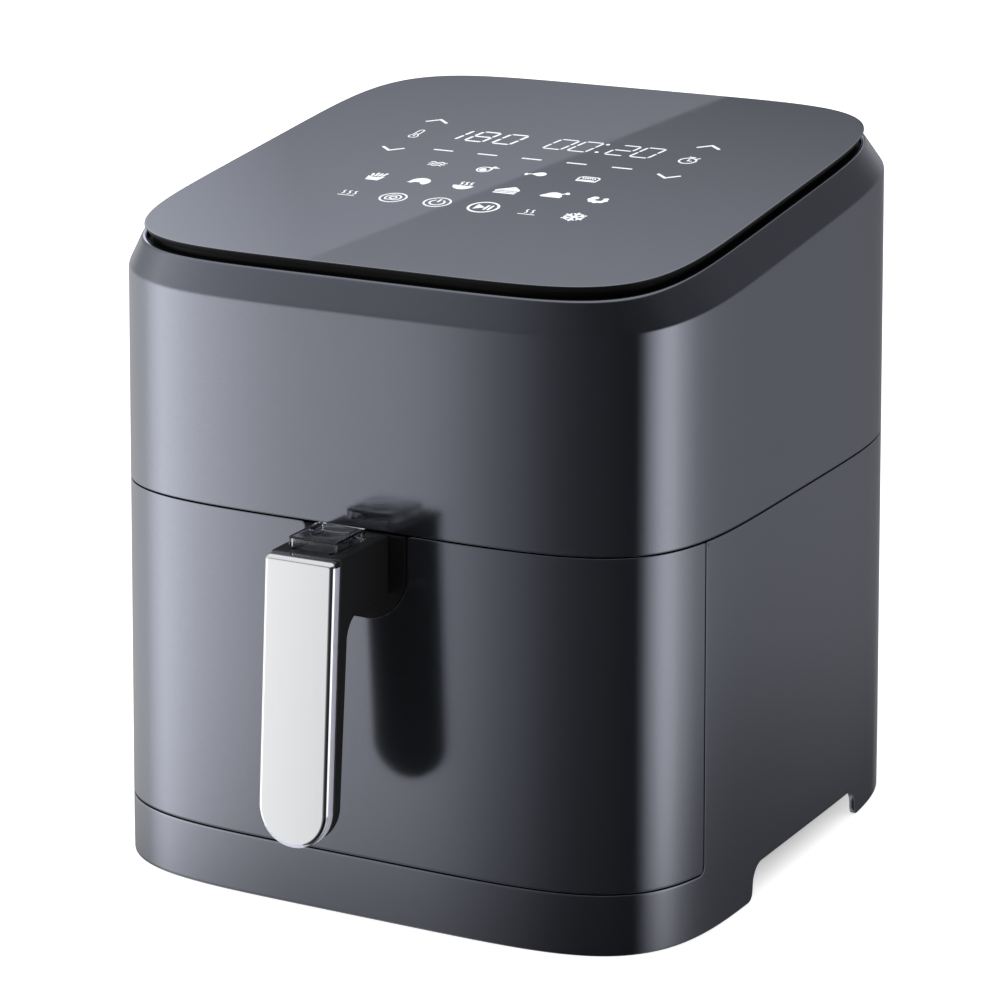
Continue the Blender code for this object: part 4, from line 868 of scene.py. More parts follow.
def make_tray():
    """Black frame under the glass: a rim that holds it, and a broad shelf inwards."""
    rim = GLASS_THICK + 0.0004
    shelf, under = 0.0060, 0.0072
    inner = -0.0400
    section = [(-0.0030, rim), (-0.0030, under - 0.0002), (-0.0032, under), (inner, under), (inner, shelf),
               (-0.0052, shelf), (-0.0050, shelf - 0.0002), (-0.0050, rim)]
    rows = [[panel_point(angle, outset, drop) for angle in plan_angles(0.004)] for outset, drop in section]
    bm = bmesh.new()
    add_rows(bm, rows, loop=True)
    finish_piece("tray_frame", bm, "black_with_painted_shade", "housing", ["panel_tray"], sharp_deg=40)


# ---------------------------------------------------------------- printed symbols on the glass
PRINT_RISE = 0.00004          # the print stands this far above the glass
MM = 0.001


def glass_place(u, v, rise=0.0):
    """Point on the glass: u to the right and v towards the back, in metres from the glass's centre."""
    tilt = math.hypot(1.0, PANEL_SLOPE)
    y = GLASS_CENTRE_Y + v / tilt
    z = GLASS_Z + PANEL_SLOPE * (y - CENTRE_Y)
    return Vector((u, y - rise * PANEL_SLOPE / tilt, z + rise / tilt))


class Print:
    """Collects flat printed shapes in millimetres and lays them on the glass as thin solids.

    A place is (u, v) or (u, v, scale).
    """

    def __init__(self, name):
        self.name = name
        self.bm = bmesh.new()

    def row(self, outline, at, slant, rise):
        scale = at[2] if len(at) > 2 else 1.0
        return [glass_place((at[0] + (x + slant * y) * scale) * MM, (at[1] + y * scale) * MM, rise)
                for x, y in outline]

    def fill(self, outline, at=(0, 0), slant=0.0):
        if sum(a[0] * b[1] - b[0] * a[1] for a, b in zip(outline, outline[1:] + outline[:1])) < 0:
            outline = outline[::-1]
        rows = [self.row(outline, at, slant, rise) for rise in (-PRINT_RISE / 2, PRINT_RISE)]
        add_rows(self.bm, rows, caps=True)

    def line(self, points, width, at=(0, 0), slant=0.0, closed=False):
        """Line of even width with round ends, or a closed ring."""
        if closed:
            outer = offset_outline(points, -width / 2)
            inner = offset_outline(points, width / 2)
            low, high = -PRINT_RISE / 2, PRINT_RISE
            section = ((outer, low), (outer, high), (inner, high), (inner, low))
            add_rows(self.bm, [self.row(outline, at, slant, rise) for outline, rise in section], loop=True)
            return
        left = offset_outline(points, width / 2, closed=False)
        right = offset_outline(points, -width / 2, closed=False)
        (x0, y0), (x1, y1) = points[0], points[1]
        start = math.degrees(math.atan2(y1 - y0, x1 - x0))
        (x2, y2), (x3, y3) = points[-2], points[-1]
        end = math.degrees(math.atan2(y3 - y2, x3 - x2))
        outline = right + arc(points[-1], width / 2, end - 90, end + 90, 6)[1:-1]
        outline += left[::-1] + arc(points[0], width / 2, start + 90, start + 270, 6)[1:-1]
        self.fill(outline, at, slant)

    def finish(self):
        finish_piece(self.name, self.bm, "print", "housing", sharp_deg=40)


SEGMENTS = {"0": "abcdef", "1": "bc", "2": "abged", "8": "abcdefg"}
DIGIT_WIDTH = 8.6
DIGIT_HEIGHT = 13.8
DIGIT_SLANT = 0.20
DIGIT_GAP = 0.35              # between a bar's point and the digit's corner


def print_digit(sheet, digit, at, thick):
    """Seven-segment digit whose bars have pointed ends."""
    wide, high, half = DIGIT_WIDTH, DIGIT_HEIGHT, DIGIT_HEIGHT / 2
    ends = {"a": ((0, high), (wide, high)), "b": ((wide, half), (wide, high)),
            "c": ((wide, 0), (wide, half)), "d": ((0, 0), (wide, 0)), "e": ((0, 0), (0, half)),
            "f": ((0, half), (0, high)), "g": ((0, half), (wide, half))}
    t = thick / 2
    for key in SEGMENTS[digit]:
        (x0, y0), (x1, y1) = ends[key]
        if y0 == y1:
            x0, x1 = x0 + DIGIT_GAP, x1 - DIGIT_GAP
            bar = [(x0, y0), (x0 + t, y0 - t), (x1 - t, y0 - t), (x1, y0), (x1 - t, y0 + t), (x0 + t, y0 + t)]
        else:
            y0, y1 = y0 + DIGIT_GAP, y1 - DIGIT_GAP
            bar = [(x0, y0), (x0 + t, y0 + t), (x0 + t, y1 - t), (x0, y1), (x0 - t, y1 - t), (x0 - t, y0 + t)]
        sheet.fill(bar, at, DIGIT_SLANT)


def print_readout(sheet):
    base = 34.4
    for digit, x in (("1", -54.6), ("8", -41.2), ("0", -27.8)):
        print_digit(sheet, digit, (x, base), 1.35)
    for digit, x in (("0", -3.1), ("0", 8.7), ("2", 26.5), ("0", 38.3)):
        print_digit(sheet, digit, (x, base), 1.05)
    for y in (1.4, 12.6):
        sheet.fill(circle((0, 0), 0.95, 12), (22.3, base + y))


def print_scales(sheet):
    """Arrows, thermometer, stopwatch and the five bars under the readout."""
    for x in (-66, 66):
        sheet.line([(-4.9, -2.0), (0, 2.0), (4.9, -2.0)], 1.35, (x, 57))
        sheet.line([(-4.9, 2.0), (0, -2.0), (4.9, 2.0)], 1.35, (x, 13.6))
    for number in range(5):
        sheet.line([(-4.2, 0), (4.2, 0)], 1.25, (-42.8 + 21.4 * number, 18.5))
    stem = arc((0, 5.0), 1.15, 0, 180, 8) + arc((0, -3.0), 2.1, 125, 415, 20)
    sheet.line(stem, 0.6, (-66, 36.5), closed=True)
    sheet.line([(0, -3.2), (0, 0.6)], 0.6, (-66, 36.5))
    sheet.line(circle((0, -0.4), 3.7, 28), 0.85, (65, 36.6), closed=True)
    sheet.line([(0, 1.6), (0, -0.6), (1.7, -0.6)], 0.7, (65, 36.6))
    sheet.line([(-1.2, 4.6), (1.2, 4.6)], 0.9, (65, 36.6))
    sheet.line([(2.8, 2.9), (3.7, 3.8)], 0.9, (65, 36.6))


def print_bacon(sheet, at):
    for shift in (0.1, 2.6):
        wave = [(-4.4 + 0.8 * k, 0.7 * math.sin(k * 1.1) + shift) for k in range(12)]
        sheet.line(wave, 0.95, at)
    sheet.line([(-4.0 + 0.8 * k, 0.6 * math.sin(k * 1.1) - 2.3) for k in range(10)], 0.8, at)


def print_vegetable(sheet, at):
    body = arc((-0.8, -0.8), 3.5, 60, 330, 22) + [(2.4, 0.8)]
    sheet.line(body, 0.9, at, closed=True)
    sheet.fill(arc((-1.1, -1.1), 2.1, 90, 350, 16), at)
    for lean in (0.2, 1.5, 2.8):
        sheet.line([(1.4, 2.0), (2.2 + lean, 4.6 - lean * 0.7)], 0.8, at)


def print_drumstick(sheet, at):
    meat = arc((1.6, 0.4), 2.5, -115, 120, 20) + [(-1.6, 0.9), (-2.2, 0.1), (-1.9, -0.6)]
    sheet.fill(meat, at)
    sheet.line([(-2.6, -0.1), (-4.3, -1.0)], 0.9, at)
    sheet.fill(circle((-4.7, -0.6), 0.8, 12), at)
    sheet.fill(circle((-4.4, -1.6), 0.8, 12), at)


def print_bread(sheet, at):
    crust = arc((-2.6, 0.9), 2.1, 90, 200, 8) + [(-4.3, -2.7), (4.3, -2.7)]
    crust += arc((2.6, 0.9), 2.1, -20, 90, 8)
    sheet.line(crust, 0.8, at, closed=True)
    for number in range(6):
        x = -2.75 + 1.1 * number
        sheet.line([(x - 0.25, 1.8), (x + 0.1, 0.7)], 0.75, at)
    sheet.fill([(-3.7, -2.2), (3.7, -2.2), (3.4, -0.9), (-3.4, -0.9)], at)


def print_fries(sheet, at):
    sheet.fill([(-3.4, 0.6), (-2.5, -3.8), (2.5, -3.8), (3.4, 0.6), (1.4, -0.4), (-1.4, -0.4)], at)
    for x, top in ((-2.7, 3.0), (-1.0, 4.0), (0.7, 3.5), (2.4, 4.1)):
        sheet.line([(x * 0.8, 0.9), (x, top)], 1.0, at)


def print_steak(sheet, at):
    meat = arc((0.4, -0.3), 3.9, -35, 190, 24)
    meat += [(-4.2, -2.0), (-2.4, -2.4), (-1.0, -1.1), (0.8, -1.2), (1.6, -2.6), (3.0, -3.2)]
    sheet.fill(meat, at)


def print_bowl(sheet, at):
    sheet.fill([(-4.4, 0.2)] + arc((0, 0.0), 4.0, 180, 360, 16) + [(4.4, 0.2)], at)
    for x in (-1.9, 0.0, 1.9):
        steam = [(x + 0.4 * math.sin(k * 1.3), 1.2 + k * 0.6) for k in range(6)]
        sheet.line(steam, 0.7, at)


def print_cake(sheet, at):
    sheet.line([(-4.3, -0.2), (4.0, -0.2), (4.0, 1.0), (1.3, 3.6), (0.6, 3.6)], 0.7, at, closed=True)
    sheet.fill([(-3.0, 0.4), (3.4, 0.4), (3.4, 1.0), (1.2, 3.1)], at)
    sheet.fill([(-4.5, -1.1), (4.2, -1.1), (4.2, -2.0), (-4.5, -2.0)], at)
    sheet.fill([(-4.5, -2.5), (4.2, -2.5), (4.2, -3.6), (-4.5, -3.6)], at)


def print_roast(sheet, at):
    body = arc((0.0, 0.0), 3.1, 20, 165, 14) + [(-4.6, -1.4), (-3.8, -2.4), (3.6, -2.4), (3.9, -0.8)]
    sheet.fill(body, at)
    sheet.line([(2.4, 1.4), (4.0, 2.8)], 0.9, at)
    sheet.fill(circle((4.2, 3.3), 0.8, 12), at)
    sheet.fill(circle((4.7, 2.5), 0.8, 12), at)


def print_shrimp(sheet, at):
    """Ring open at the top, with notches between its segments."""
    for number in range(7):
        turn = 140 + 42 * number
        angle = math.radians(turn)
        thick = 1.55 - 0.08 * number
        centre = (2.75 * math.cos(angle), 2.4 * math.sin(angle))
        sheet.fill(circle(centre, thick, 14), at)


def print_ring(sheet, at, radius, width=0.85):
    sheet.line(circle((0, 0), radius, 44), width, at, closed=True)


def print_swirl(sheet, at):
    """Preset key: a ring round a small dial."""
    print_ring(sheet, at, 5.7)
    sheet.line(arc((0, 0), 3.4, -35, 215, 24), 0.8, at)
    sheet.line([(-2.6, -2.6), (2.6, -2.6)], 0.7, at)
    sheet.line(circle((0, 0.1), 1.5, 18), 0.8, at, closed=True)


def print_power(sheet, at):
    print_ring(sheet, at, 5.7)
    sheet.line(arc((0, -0.2), 3.2, 125, 415, 24), 0.85, at)
    sheet.line([(0, 0.6), (0, 3.6)], 0.9, at)


def print_start(sheet, at):
    print_ring(sheet, at, 6.4, 1.1)
    sheet.fill([(-3.6, -3.1), (0.7, 0.0), (-3.6, 3.1)], at)
    for x in (1.4, 3.3):
        sheet.line([(x, -2.5), (x, 2.5)], 1.1, at)


def print_snowflake(sheet, at):
    for turn in range(0, 360, 60):
        angle = math.radians(turn + 30)
        c, s = math.cos(angle), math.sin(angle)
        sheet.line([(0, 0), (4.3 * c, 4.3 * s)], 0.95, at)
        for side in (-1, 1):
            lean = angle + side * math.radians(50)
            root = (2.3 * c, 2.3 * s)
            tip = (root[0] + 1.7 * math.cos(lean), root[1] + 1.7 * math.sin(lean))
            sheet.line([root, tip], 0.85, at)


def print_heat_key(sheet, at, rows):
    """Wordless key for warming: wavy lines over a short bar."""
    for number in range(rows):
        x = (number - (rows - 1) / 2) * 2.1
        wave = [(x + 0.42 * math.sin(k * 1.2), -0.9 + k * 0.62) for k in range(6)]
        sheet.line(wave, 0.5, at)
    sheet.line([(-2.8, -2.2), (2.8, -2.2)], 0.5, at)


def make_print():
    sheet = Print("panel_print")
    print_readout(sheet)
    print_scales(sheet)
    print_bacon(sheet, (-36.0, 0.0, 0.85))
    print_vegetable(sheet, (-12.0, 0.0, 0.92))
    print_drumstick(sheet, (12.0, 0.0, 1.0))
    print_bread(sheet, (36.0, 0.0, 1.0))
    foods = (print_fries, print_steak, print_bowl, print_cake, print_roast, print_shrimp)
    for number, draw in enumerate(foods):
        draw(sheet, (-52.5 + 21.0 * number, -23.7, 1.17))
    print_heat_key(sheet, (-52.5, -47.0, 1.3), 3)
    print_swirl(sheet, (-31.3, -47.0))
    print_power(sheet, (-10.4, -47.0))
    print_start(sheet, (11.2, -47.0))
    print_heat_key(sheet, (32.3, -47.0, 1.3), 2)
    print_snowflake(sheet, (52.8, -47.0, 1.15))
    sheet.finish()


# ---------------------------------------------------------------- flat-sided solids with rounded edges
def slab(bm, outline, layers, place):
    """Solid whose section at each (inset, depth) layer is the outline moved inwards by inset."""
    rows = []
    for inset, depth in layers:
        rows.append([place(u, v, depth) for u, v in offset_outline(outline, inset)])
    add_rows(bm, rows, caps=True)


def slab_layers(thickness, front, back, support=0.0003):
    """Layers of a slab with a rounded edge on its front and on its back."""
    layers = [(front + support, 0.0)] + rounding(front, 6)
    layers += [(inset, thickness - depth) for inset, depth in reversed(rounding(back, 3))]
    layers.append((back + support, thickness))
    return layers


def bar_outline(top, bottom, half, corner):
    """Handle seen from the front, anticlockwise: round lower end, small upper corners."""
    lower = arc((0, bottom + half), half, 180, 360, 40)
    upper = rounded_polygon([(half, bottom + half, 0), (half, top, corner), (-half, top, corner),
                             (-half, bottom + half, 0)])
    return lower + upper[1:-1]


def plate_y(z, behind=0.0):
    return PLATE_TOP_Y - HANDLE_LEAN * (HANDLE_TOP_Z - z) + behind


def make_handle_plate():
    """Flat face inside two polished bands, and sides that widen a little towards the grip.

    Brushed metal with a lighter lilac tint covers the sides, and the bands where they turn round the left
    part of the lower end; that lighter tint is painted sheen.
    """
    outline = bar_outline(HANDLE_TOP_Z, HANDLE_BOTTOM_Z, HANDLE_HALF_WIDTH, PLATE_CORNER)
    corners = [(PLATE_DRAFT, PLATE_BANDS[0][1] + PLATE_BANDS[1][1])]
    for inset, depth in reversed(PLATE_BANDS):
        corners.append((corners[-1][0] + inset, corners[-1][1] - depth))
    side, ridge, edge = corners
    layers = [(edge[0] + PLATE_SUPPORT, 0.0), (edge[0] + PLATE_CREASE, 0.0)]
    back = (0.0, PLATE_THICK)
    for before, corner, after in ((None, edge, ridge), (edge, ridge, side), (ridge, side, back)):
        for other in (before, after):
            if other:
                layers.append(between(corner, other, PLATE_CREASE_STRIP / math.dist(corner, other)))
    side_row = len(layers) - 1
    layers += [(inset, PLATE_THICK - depth) for inset, depth in reversed(rounding(0.0003, 3))]
    layers.append((PLATE_SUPPORT, PLATE_THICK))
    bm = bmesh.new()
    slab(bm, outline, layers, lambda u, v, d: (u, plate_y(v, d), v))
    bm.faces.ensure_lookup_table()
    # the sides below the top corners and the lower left of the bands take the lighter lilac tint, which is
    # painted sheen
    for number, face in enumerate(bm.faces[:(side_row + 1) * len(outline)]):
        middle = face.calc_center_median()
        if number >= side_row * len(outline):
            takes_sheen = middle.z < HANDLE_TOP_Z - PLATE_CORNER
        else:
            takes_sheen = middle.x < PLATE_SHEEN_X and middle.z < PLATE_SHEEN_Z
        face.material_index = int(takes_sheen)
    finish_piece("front_plate", bm, "chrome", "drawer", ["handle_plate"],
                 second_look="satin_painted_sheen")


def apply_modifiers(piece):
    """Replaces a piece's mesh by its evaluated one."""
    graph = bpy.context.evaluated_depsgraph_get()
    mesh = bpy.data.meshes.new_from_object(piece.evaluated_get(graph))
    piece.modifiers.clear()
    piece.data = mesh


def boolean(piece, cutter, operation="DIFFERENCE"):
    """Cuts or trims a piece by another solid, which is then removed."""
    modifier = piece.modifiers.new("solid", "BOOLEAN")
    modifier.object = cutter
    modifier.operation = operation
    modifier.solver = "EXACT"
    apply_modifiers(piece)
    bpy.data.objects.remove(cutter, do_unlink=True)


def helper(bm, name):
    """Plain object that isn't a piece yet, or never becomes one."""
    bmesh.ops.recalc_face_normals(bm, faces=bm.faces)
    mesh = bpy.data.meshes.new(name)
    bm.to_mesh(mesh)
    bm.free()
    made = bpy.data.objects.new(name, mesh)
    bpy.context.scene.collection.objects.link(made)
    return made


def helper_prism(outline, axis, low, high):
    """Plain prism: an outline pushed along X, Y or Z."""
    def place(u, v, w):
        return {"x": (w, u, v), "y": (u, w, v), "z": (u, v, w)}[axis]
    bm = bmesh.new()
    add_rows(bm, [[place(u, v, w) for u, v in outline] for w in (low, high)], caps=True)
    return helper(bm, "prism_" + axis)


def soften(piece, width, angle_deg=35, segments=3):
    bevel = piece.modifiers.new("edges", "BEVEL")
    bevel.width = width
    bevel.segments = segments
    bevel.limit_method = "ANGLE"
    bevel.angle_limit = math.radians(angle_deg)
    bevel.use_clamp_overlap = True
    apply_modifiers(piece)
    piece.data.shade_smooth()
    piece.data.set_sharp_from_angle(angle=math.radians(angle_deg))
    weigh = piece.modifiers.new("weighted", "WEIGHTED_NORMAL")
    weigh.keep_sharp = True
    apply_modifiers(piece)


def adopt(piece, name, look, body, replaced):
    """Makes a helper solid a named piece of the fryer."""
    piece.name = name
    piece.data.name = name
    piece.data.materials.clear()
    piece.data.materials.append(MATERIALS[look])
    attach(piece, body)
    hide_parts(*replaced)
    return piece


def strip(x, half_width, front, rear):
    """Outline, seen from above, of a straight strip along Y."""
    return [(x - half_width, front), (x + half_width, front), (x + half_width, rear), (x - half_width, rear)]


def make_handle_grip():
    """Side profile trimmed to the handle's front view, then cut for the button and the guard's runners."""
    gap = PLATE_THICK + PLATE_GAP
    arm_z = GRIP_HIGH.z - ARM_THICK
    inner_y = CENTRE_Y - FINGER_FACE_Y
    low = HANDLE_BOTTOM_Z - OVERSHOOT
    back_low = inner_y - FINGER_FACE_LEAN * (FINGER_FACE_Z - low)
    profile = [(plate_y(HANDLE_TOP_Z, gap), HANDLE_TOP_Z), (plate_y(low, gap), low), (back_low, low)]
    profile += arc((inner_y + 0.0008 + ARM_FILLET, arm_z - ARM_FILLET), ARM_FILLET, 180, 90, 20)
    profile += [(GRIP_HIGH.y, arm_z), (GRIP_HIGH.y, HANDLE_TOP_Z)]
    wide = HANDLE_HALF_WIDTH + OVERSHOOT / 2
    grip = helper_prism(profile, "x", -wide, wide)
    outline = bar_outline(HANDLE_TOP_Z + OVERSHOOT / 2, HANDLE_BOTTOM_Z + 0.0003,
                          HANDLE_HALF_WIDTH - 0.0002, 0.001)
    trim = helper_prism(outline, "y", GRIP_LOW.y - 2 * OVERSHOOT, GRIP_HIGH.y + 2 * OVERSHOOT)
    boolean(grip, trim, "INTERSECT")
    soften(grip, 0.0009)
    button_y = (BUTTON_LOW.y + BUTTON_HIGH.y) / 2
    hole = circle((0.0, button_y), BUTTON_HIGH.x + BUTTON_GAP, 40)
    boolean(grip, helper_prism(hole, "z", HANDLE_TOP_Z - BUTTON_WELL, HANDLE_TOP_Z + OVERSHOOT))
    for x in (-RUNNER_X, RUNNER_X):
        slot = strip(x, SLOT_HALF_WIDTH, GUARD_LOW.y - 0.0006, GUARD_HIGH.y - 0.0015)
        boolean(grip, helper_prism(slot, "z", HANDLE_TOP_Z - SLOT_DEPTH, HANDLE_TOP_Z + OVERSHOOT))
    grip.data.shade_smooth()
    grip.data.set_sharp_from_angle(angle=math.radians(40))
    adopt(grip, "grip_and_arm", "grip_plastic", "drawer", ["handle_grip"])


def make_boss():
    gap = 0.0004
    side, radius = NOTCH_HALF_WIDTH - gap, NOTCH_RADIUS - gap
    centre_z = NOTCH_BOTTOM_Z + NOTCH_RADIUS
    right = NOTCH_HALF_WIDTH - NOTCH_RADIUS
    outline = arc((-right, centre_z), radius, 180, 270, 20) + arc((right, centre_z), radius, 270, 360, 20)
    outline += rounded_corner((side, centre_z), (side, BOSS_HIGH.z), (-side, BOSS_HIGH.z), 0.0008)
    outline += rounded_corner((side, BOSS_HIGH.z), (-side, BOSS_HIGH.z), (-side, centre_z), 0.0008)
    depth = BOSS_HIGH.y - BOSS_LOW.y
    bm = bmesh.new()
    slab(bm, outline, slab_layers(depth, 0.0005, 0.0003, 0.0002), lambda u, v, d: (u, BOSS_LOW.y + d, v))
    # the boss is darker and duller than the grip: painted shade from the arm above it
    finish_piece("boss_block", bm, "black_with_painted_shade", "drawer", ["handle_boss"])


def dish_cutter(centre, radius, top):
    """Bowl of a ball round centre, with a rounded rim at the height top."""
    rim_angle = math.acos((centre[2] - top) / radius)
    profile = []
    for step in range(1, 21):
        angle = rim_angle * step / 20 * 0.985
        profile.append((radius * math.sin(angle), centre[2] - radius * math.cos(angle)))
    rim = radius * math.sin(rim_angle)
    profile += [(rim + 0.00005, top - 0.00004), (rim + 0.00018, top), (rim + 0.0006, top + 0.00012),
                (rim + 0.0006, top + 0.002)]
    bm = bmesh.new()
    add_rows(bm, turned_rows(profile, (centre[0], centre[1], 0.0), 72), caps=True)
    return helper(bm, "dish")


def guard_outline(inset, radius):
    left, right = GUARD_LOW.x + inset, GUARD_HIGH.x - inset
    front, rear = GUARD_LOW.y + inset, GUARD_HIGH.y - inset
    return rounded_polygon([(left, front, radius), (right, front, radius), (right, rear, radius),
                            (left, rear, radius)])


def make_guard():
    """Clear cap, open below, with a round thumb dish in its roof, on two runners."""
    bottom = HANDLE_TOP_Z + 0.0004
    top = GUARD_HIGH.z
    bm = bmesh.new()
    slab(bm, guard_outline(0.0, 0.0014), slab_layers(top - bottom, 0.0008, 0.0003, 0.0002),
         lambda u, v, d: (u, v, top - d))
    guard = helper(bm, "guard")
    middle = (0.0, DISH_Y, top + DISH_RADIUS - DISH_DEPTH)
    hollow = helper_prism(guard_outline(GUARD_WALL, 0.0007), "z", bottom - 0.001, top - GUARD_ROOF)
    boolean(hollow, dish_cutter(middle, DISH_RADIUS + GUARD_ROOF, top))
    boolean(guard, hollow)
    boolean(guard, dish_cutter(middle, DISH_RADIUS, top))
    for x in (-RUNNER_X, RUNNER_X):
        runner = strip(x, RUNNER_HALF_WIDTH, GUARD_HIGH.y - 0.0100, GUARD_HIGH.y - 0.0020)
        boolean(guard, helper_prism(runner, "z", GUARD_LOW.z, top - GUARD_ROOF + 0.0003), "UNION")
    guard.data.shade_smooth()
    guard.data.set_sharp_from_angle(angle=math.radians(28))
    adopt(guard, "clear_guard", "clear", "guard", ["button_guard"])


# ---------------------------------------------------------------- turned pieces
def turned_rows(profile, centre, steps, axis="z"):
    """Rows of points for a (radius, height) profile turned about an axis through centre."""
    rows = []
    for radius, height in profile:
        row = []
        for k in range(steps):
            a = 2 * math.pi * k / steps
            u, v = radius * math.cos(a), radius * math.sin(a)
            offset = (u, v, height) if axis == "z" else (u, height, v)
            row.append(tuple(c + o for c, o in zip(centre, offset)))
        rows.append(row)
    return rows


def make_button():
    """Round push button with a slightly dished top and a stem down to the latch lever."""
    y = (BUTTON_LOW.y + BUTTON_HIGH.y) / 2
    r, top, low = BUTTON_HIGH.x, BUTTON_HIGH.z, BUTTON_LOW.z
    skirt = top - 0.0055
    profile = [(0.0003, top - 0.0006), (0.0016, top - 0.00055), (0.0030, top - 0.0003),
               (0.0040, top - 0.00005), (0.0045, top), (0.0051, top - 0.00015), (r - 0.0001, top - 0.0005),
               (r, top - 0.0010), (r, skirt + 0.0003), (r - 0.0003, skirt), (0.0016, skirt),
               (0.0015, skirt - 0.0002), (0.0015, low + 0.0003), (0.0012, low), (0.0003, low)]
    bm = bmesh.new()
    add_rows(bm, turned_rows(profile, (0.0, y, 0.0), 48), caps=True)
    finish_piece("push_button", bm, "gloss_black", "button", ["release_button"],
                 sharp_deg=50)


def make_feet():
    """Round rubber feet, each standing on two rings."""
    for name in ("front_left", "front_right", "rear_left", "rear_right"):
        low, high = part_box("foot_" + name)
        r = (high.x - low.x) / 2
        centre = ((low.x + high.x) / 2, (low.y + high.y) / 2, 0.0)
        profile = [(0.0005, high.z), (r - 0.0004, high.z), (r, high.z - 0.0004), (r, 0.0011),
                   (r - 0.0002, 0.0005), (r - 0.0005, 0.0002), (r - 0.0009, 0.0), (r - 0.0030, 0.0),
                   (r - 0.0034, 0.0005), (r - 0.0050, 0.0005), (r - 0.0054, 0.0), (0.0005, 0.0)]
        bm = bmesh.new()
        add_rows(bm, turned_rows(profile, centre, 48), caps=True)
        finish_piece("rubber_" + name, bm, "foot_rubber", "housing", ["foot_" + name], sharp_deg=45)


def make_gland():
    """Flanged sleeve with a collar inside the wall, which the cord would leave through."""
    low, high = GLAND_LOW, GLAND_HIGH
    centre = ((low.x + high.x) / 2, high.y, (low.z + high.z) / 2)
    r = (high.x - low.x) / 2
    profile = [(0.0040, -0.0076), (0.0078, -0.0076), (0.0080, -0.0074), (0.0080, -0.0058),
               (0.0055, -0.0056), (0.0055, -0.0022), (r, -0.0012), (r, -0.0004), (r - 0.0002, -0.0001),
               (r - 0.0006, 0.0), (0.0046, 0.0), (0.0041, -0.0003), (0.0040, -0.0008)]
    bm = bmesh.new()
    add_rows(bm, turned_rows(profile, centre, 48, "y"), loop=True)
    finish_piece("cord_sleeve", bm, "inner_plastic", "housing", ["cord_gland"],
                 sharp_deg=45)


LOUVRES = 9
POST_X = 0.0175               # two posts stand behind the louvres


def make_grille():
    """Frame with louvres that lean down and out, so that air leaves at the back."""
    low, high = GRILLE_LOW, GRILLE_HIGH
    depth = high.y - low.y
    rim, corner, lean = 0.0040, 0.0025, 0.0011
    bm = bmesh.new()
    outer = rounded_polygon([(high.x, low.z, corner), (low.x, low.z, corner), (low.x, high.z, corner),
                             (high.x, high.z, corner)])
    edge = rounding(0.0004, 3)
    section = [(inset, high.y - d) for inset, d in edge] + [(0.0, low.y)]
    section += [(rim, low.y)] + [(rim - inset, high.y - d) for inset, d in reversed(edge)]
    rows = []
    for inset, y in section:
        rows.append([(u, y, v) for u, v in offset_outline(outer, -inset)])
    add_rows(bm, rows, loop=True)
    span = high.z - low.z - 2 * rim
    into_rim = rim - 0.0005
    for number in range(LOUVRES):
        z = low.z + rim + span * number / (LOUVRES - 1)
        blade = [(low.y + 0.0002, z + lean - 0.0007), (low.y + 0.0002, z + lean + 0.0007),
                 (high.y - 0.0006, z - lean + 0.0007), (high.y - 0.0003, z - lean + 0.0003),
                 (high.y - 0.0003, z - lean - 0.0003), (high.y - 0.0006, z - lean - 0.0007)]
        ends = (low.x + into_rim, high.x - into_rim)
        add_rows(bm, [[(x, y, v) for y, v in blade] for x in ends], caps=True)
    for x in (-POST_X, POST_X):
        post = strip(x, 0.0009, low.y, low.y + depth * 0.55)
        heights = (low.z + into_rim, high.z - into_rim)
        add_rows(bm, [[(u, y, z) for u, y in post] for z in heights], caps=True)
    finish_piece("vent_grille", bm, "inner_plastic", "housing", ["rear_grille"],
                 sharp_deg=35)


# ---------------------------------------------------------------- pan and basket
TUB_CORNER_STEPS = 16
TUB_FLOOR_RADIUS = 0.006
PAN_CORNER = 0.028
PAN_WALL = 0.0015
PAN_RIM_REACH = 0.0018
BASKET_CORNER = 0.025
BASKET_WALL = 0.0012
HOLE_PITCH = 0.0150
HOLE_RADIUS = 0.0042
HOLE_STRETCH = 1.02           # the pitch across is a little wider than the pitch along
HOLES_HALF_WIDTH = 0.094      # the perforated part of the basket's floor
HOLES_HALF_DEPTH = 0.087


def tub_outline(low, high, inset, radius):
    r = max(radius - inset, 0.002)
    left, right = low.x + inset, high.x - inset
    front, rear = low.y + inset, high.y - inset
    corners = [(left, front, r), (right, front, r), (right, rear, r), (left, rear, r)]
    return rounded_polygon(corners, steps=TUB_CORNER_STEPS)


def tub_section(height, wall):
    """(inset, height) pairs: up the outside from the floor's edge, over the rim and down inside."""
    outer_radius = TUB_FLOOR_RADIUS
    inner_radius = outer_radius - wall
    rim = height - wall / 2
    outer = [(outer_radius * (1 - math.cos(a)), outer_radius * (1 - math.sin(a)))
             for a in [math.pi / 2 * (1 - k / 6) for k in range(7)]]
    top = [(0.0, rim)]
    top += [(wall / 2 * (1 - math.cos(a)), rim + wall / 2 * math.sin(a))
            for a in [math.pi * k / 6 for k in range(1, 6)]]
    inner = [(wall, rim)]
    inner += [(wall + inner_radius * (1 - math.cos(a)), wall + inner_radius * (1 - math.sin(a)))
              for a in [math.pi / 2 * k / 6 for k in range(7)]]
    return outer, top, inner


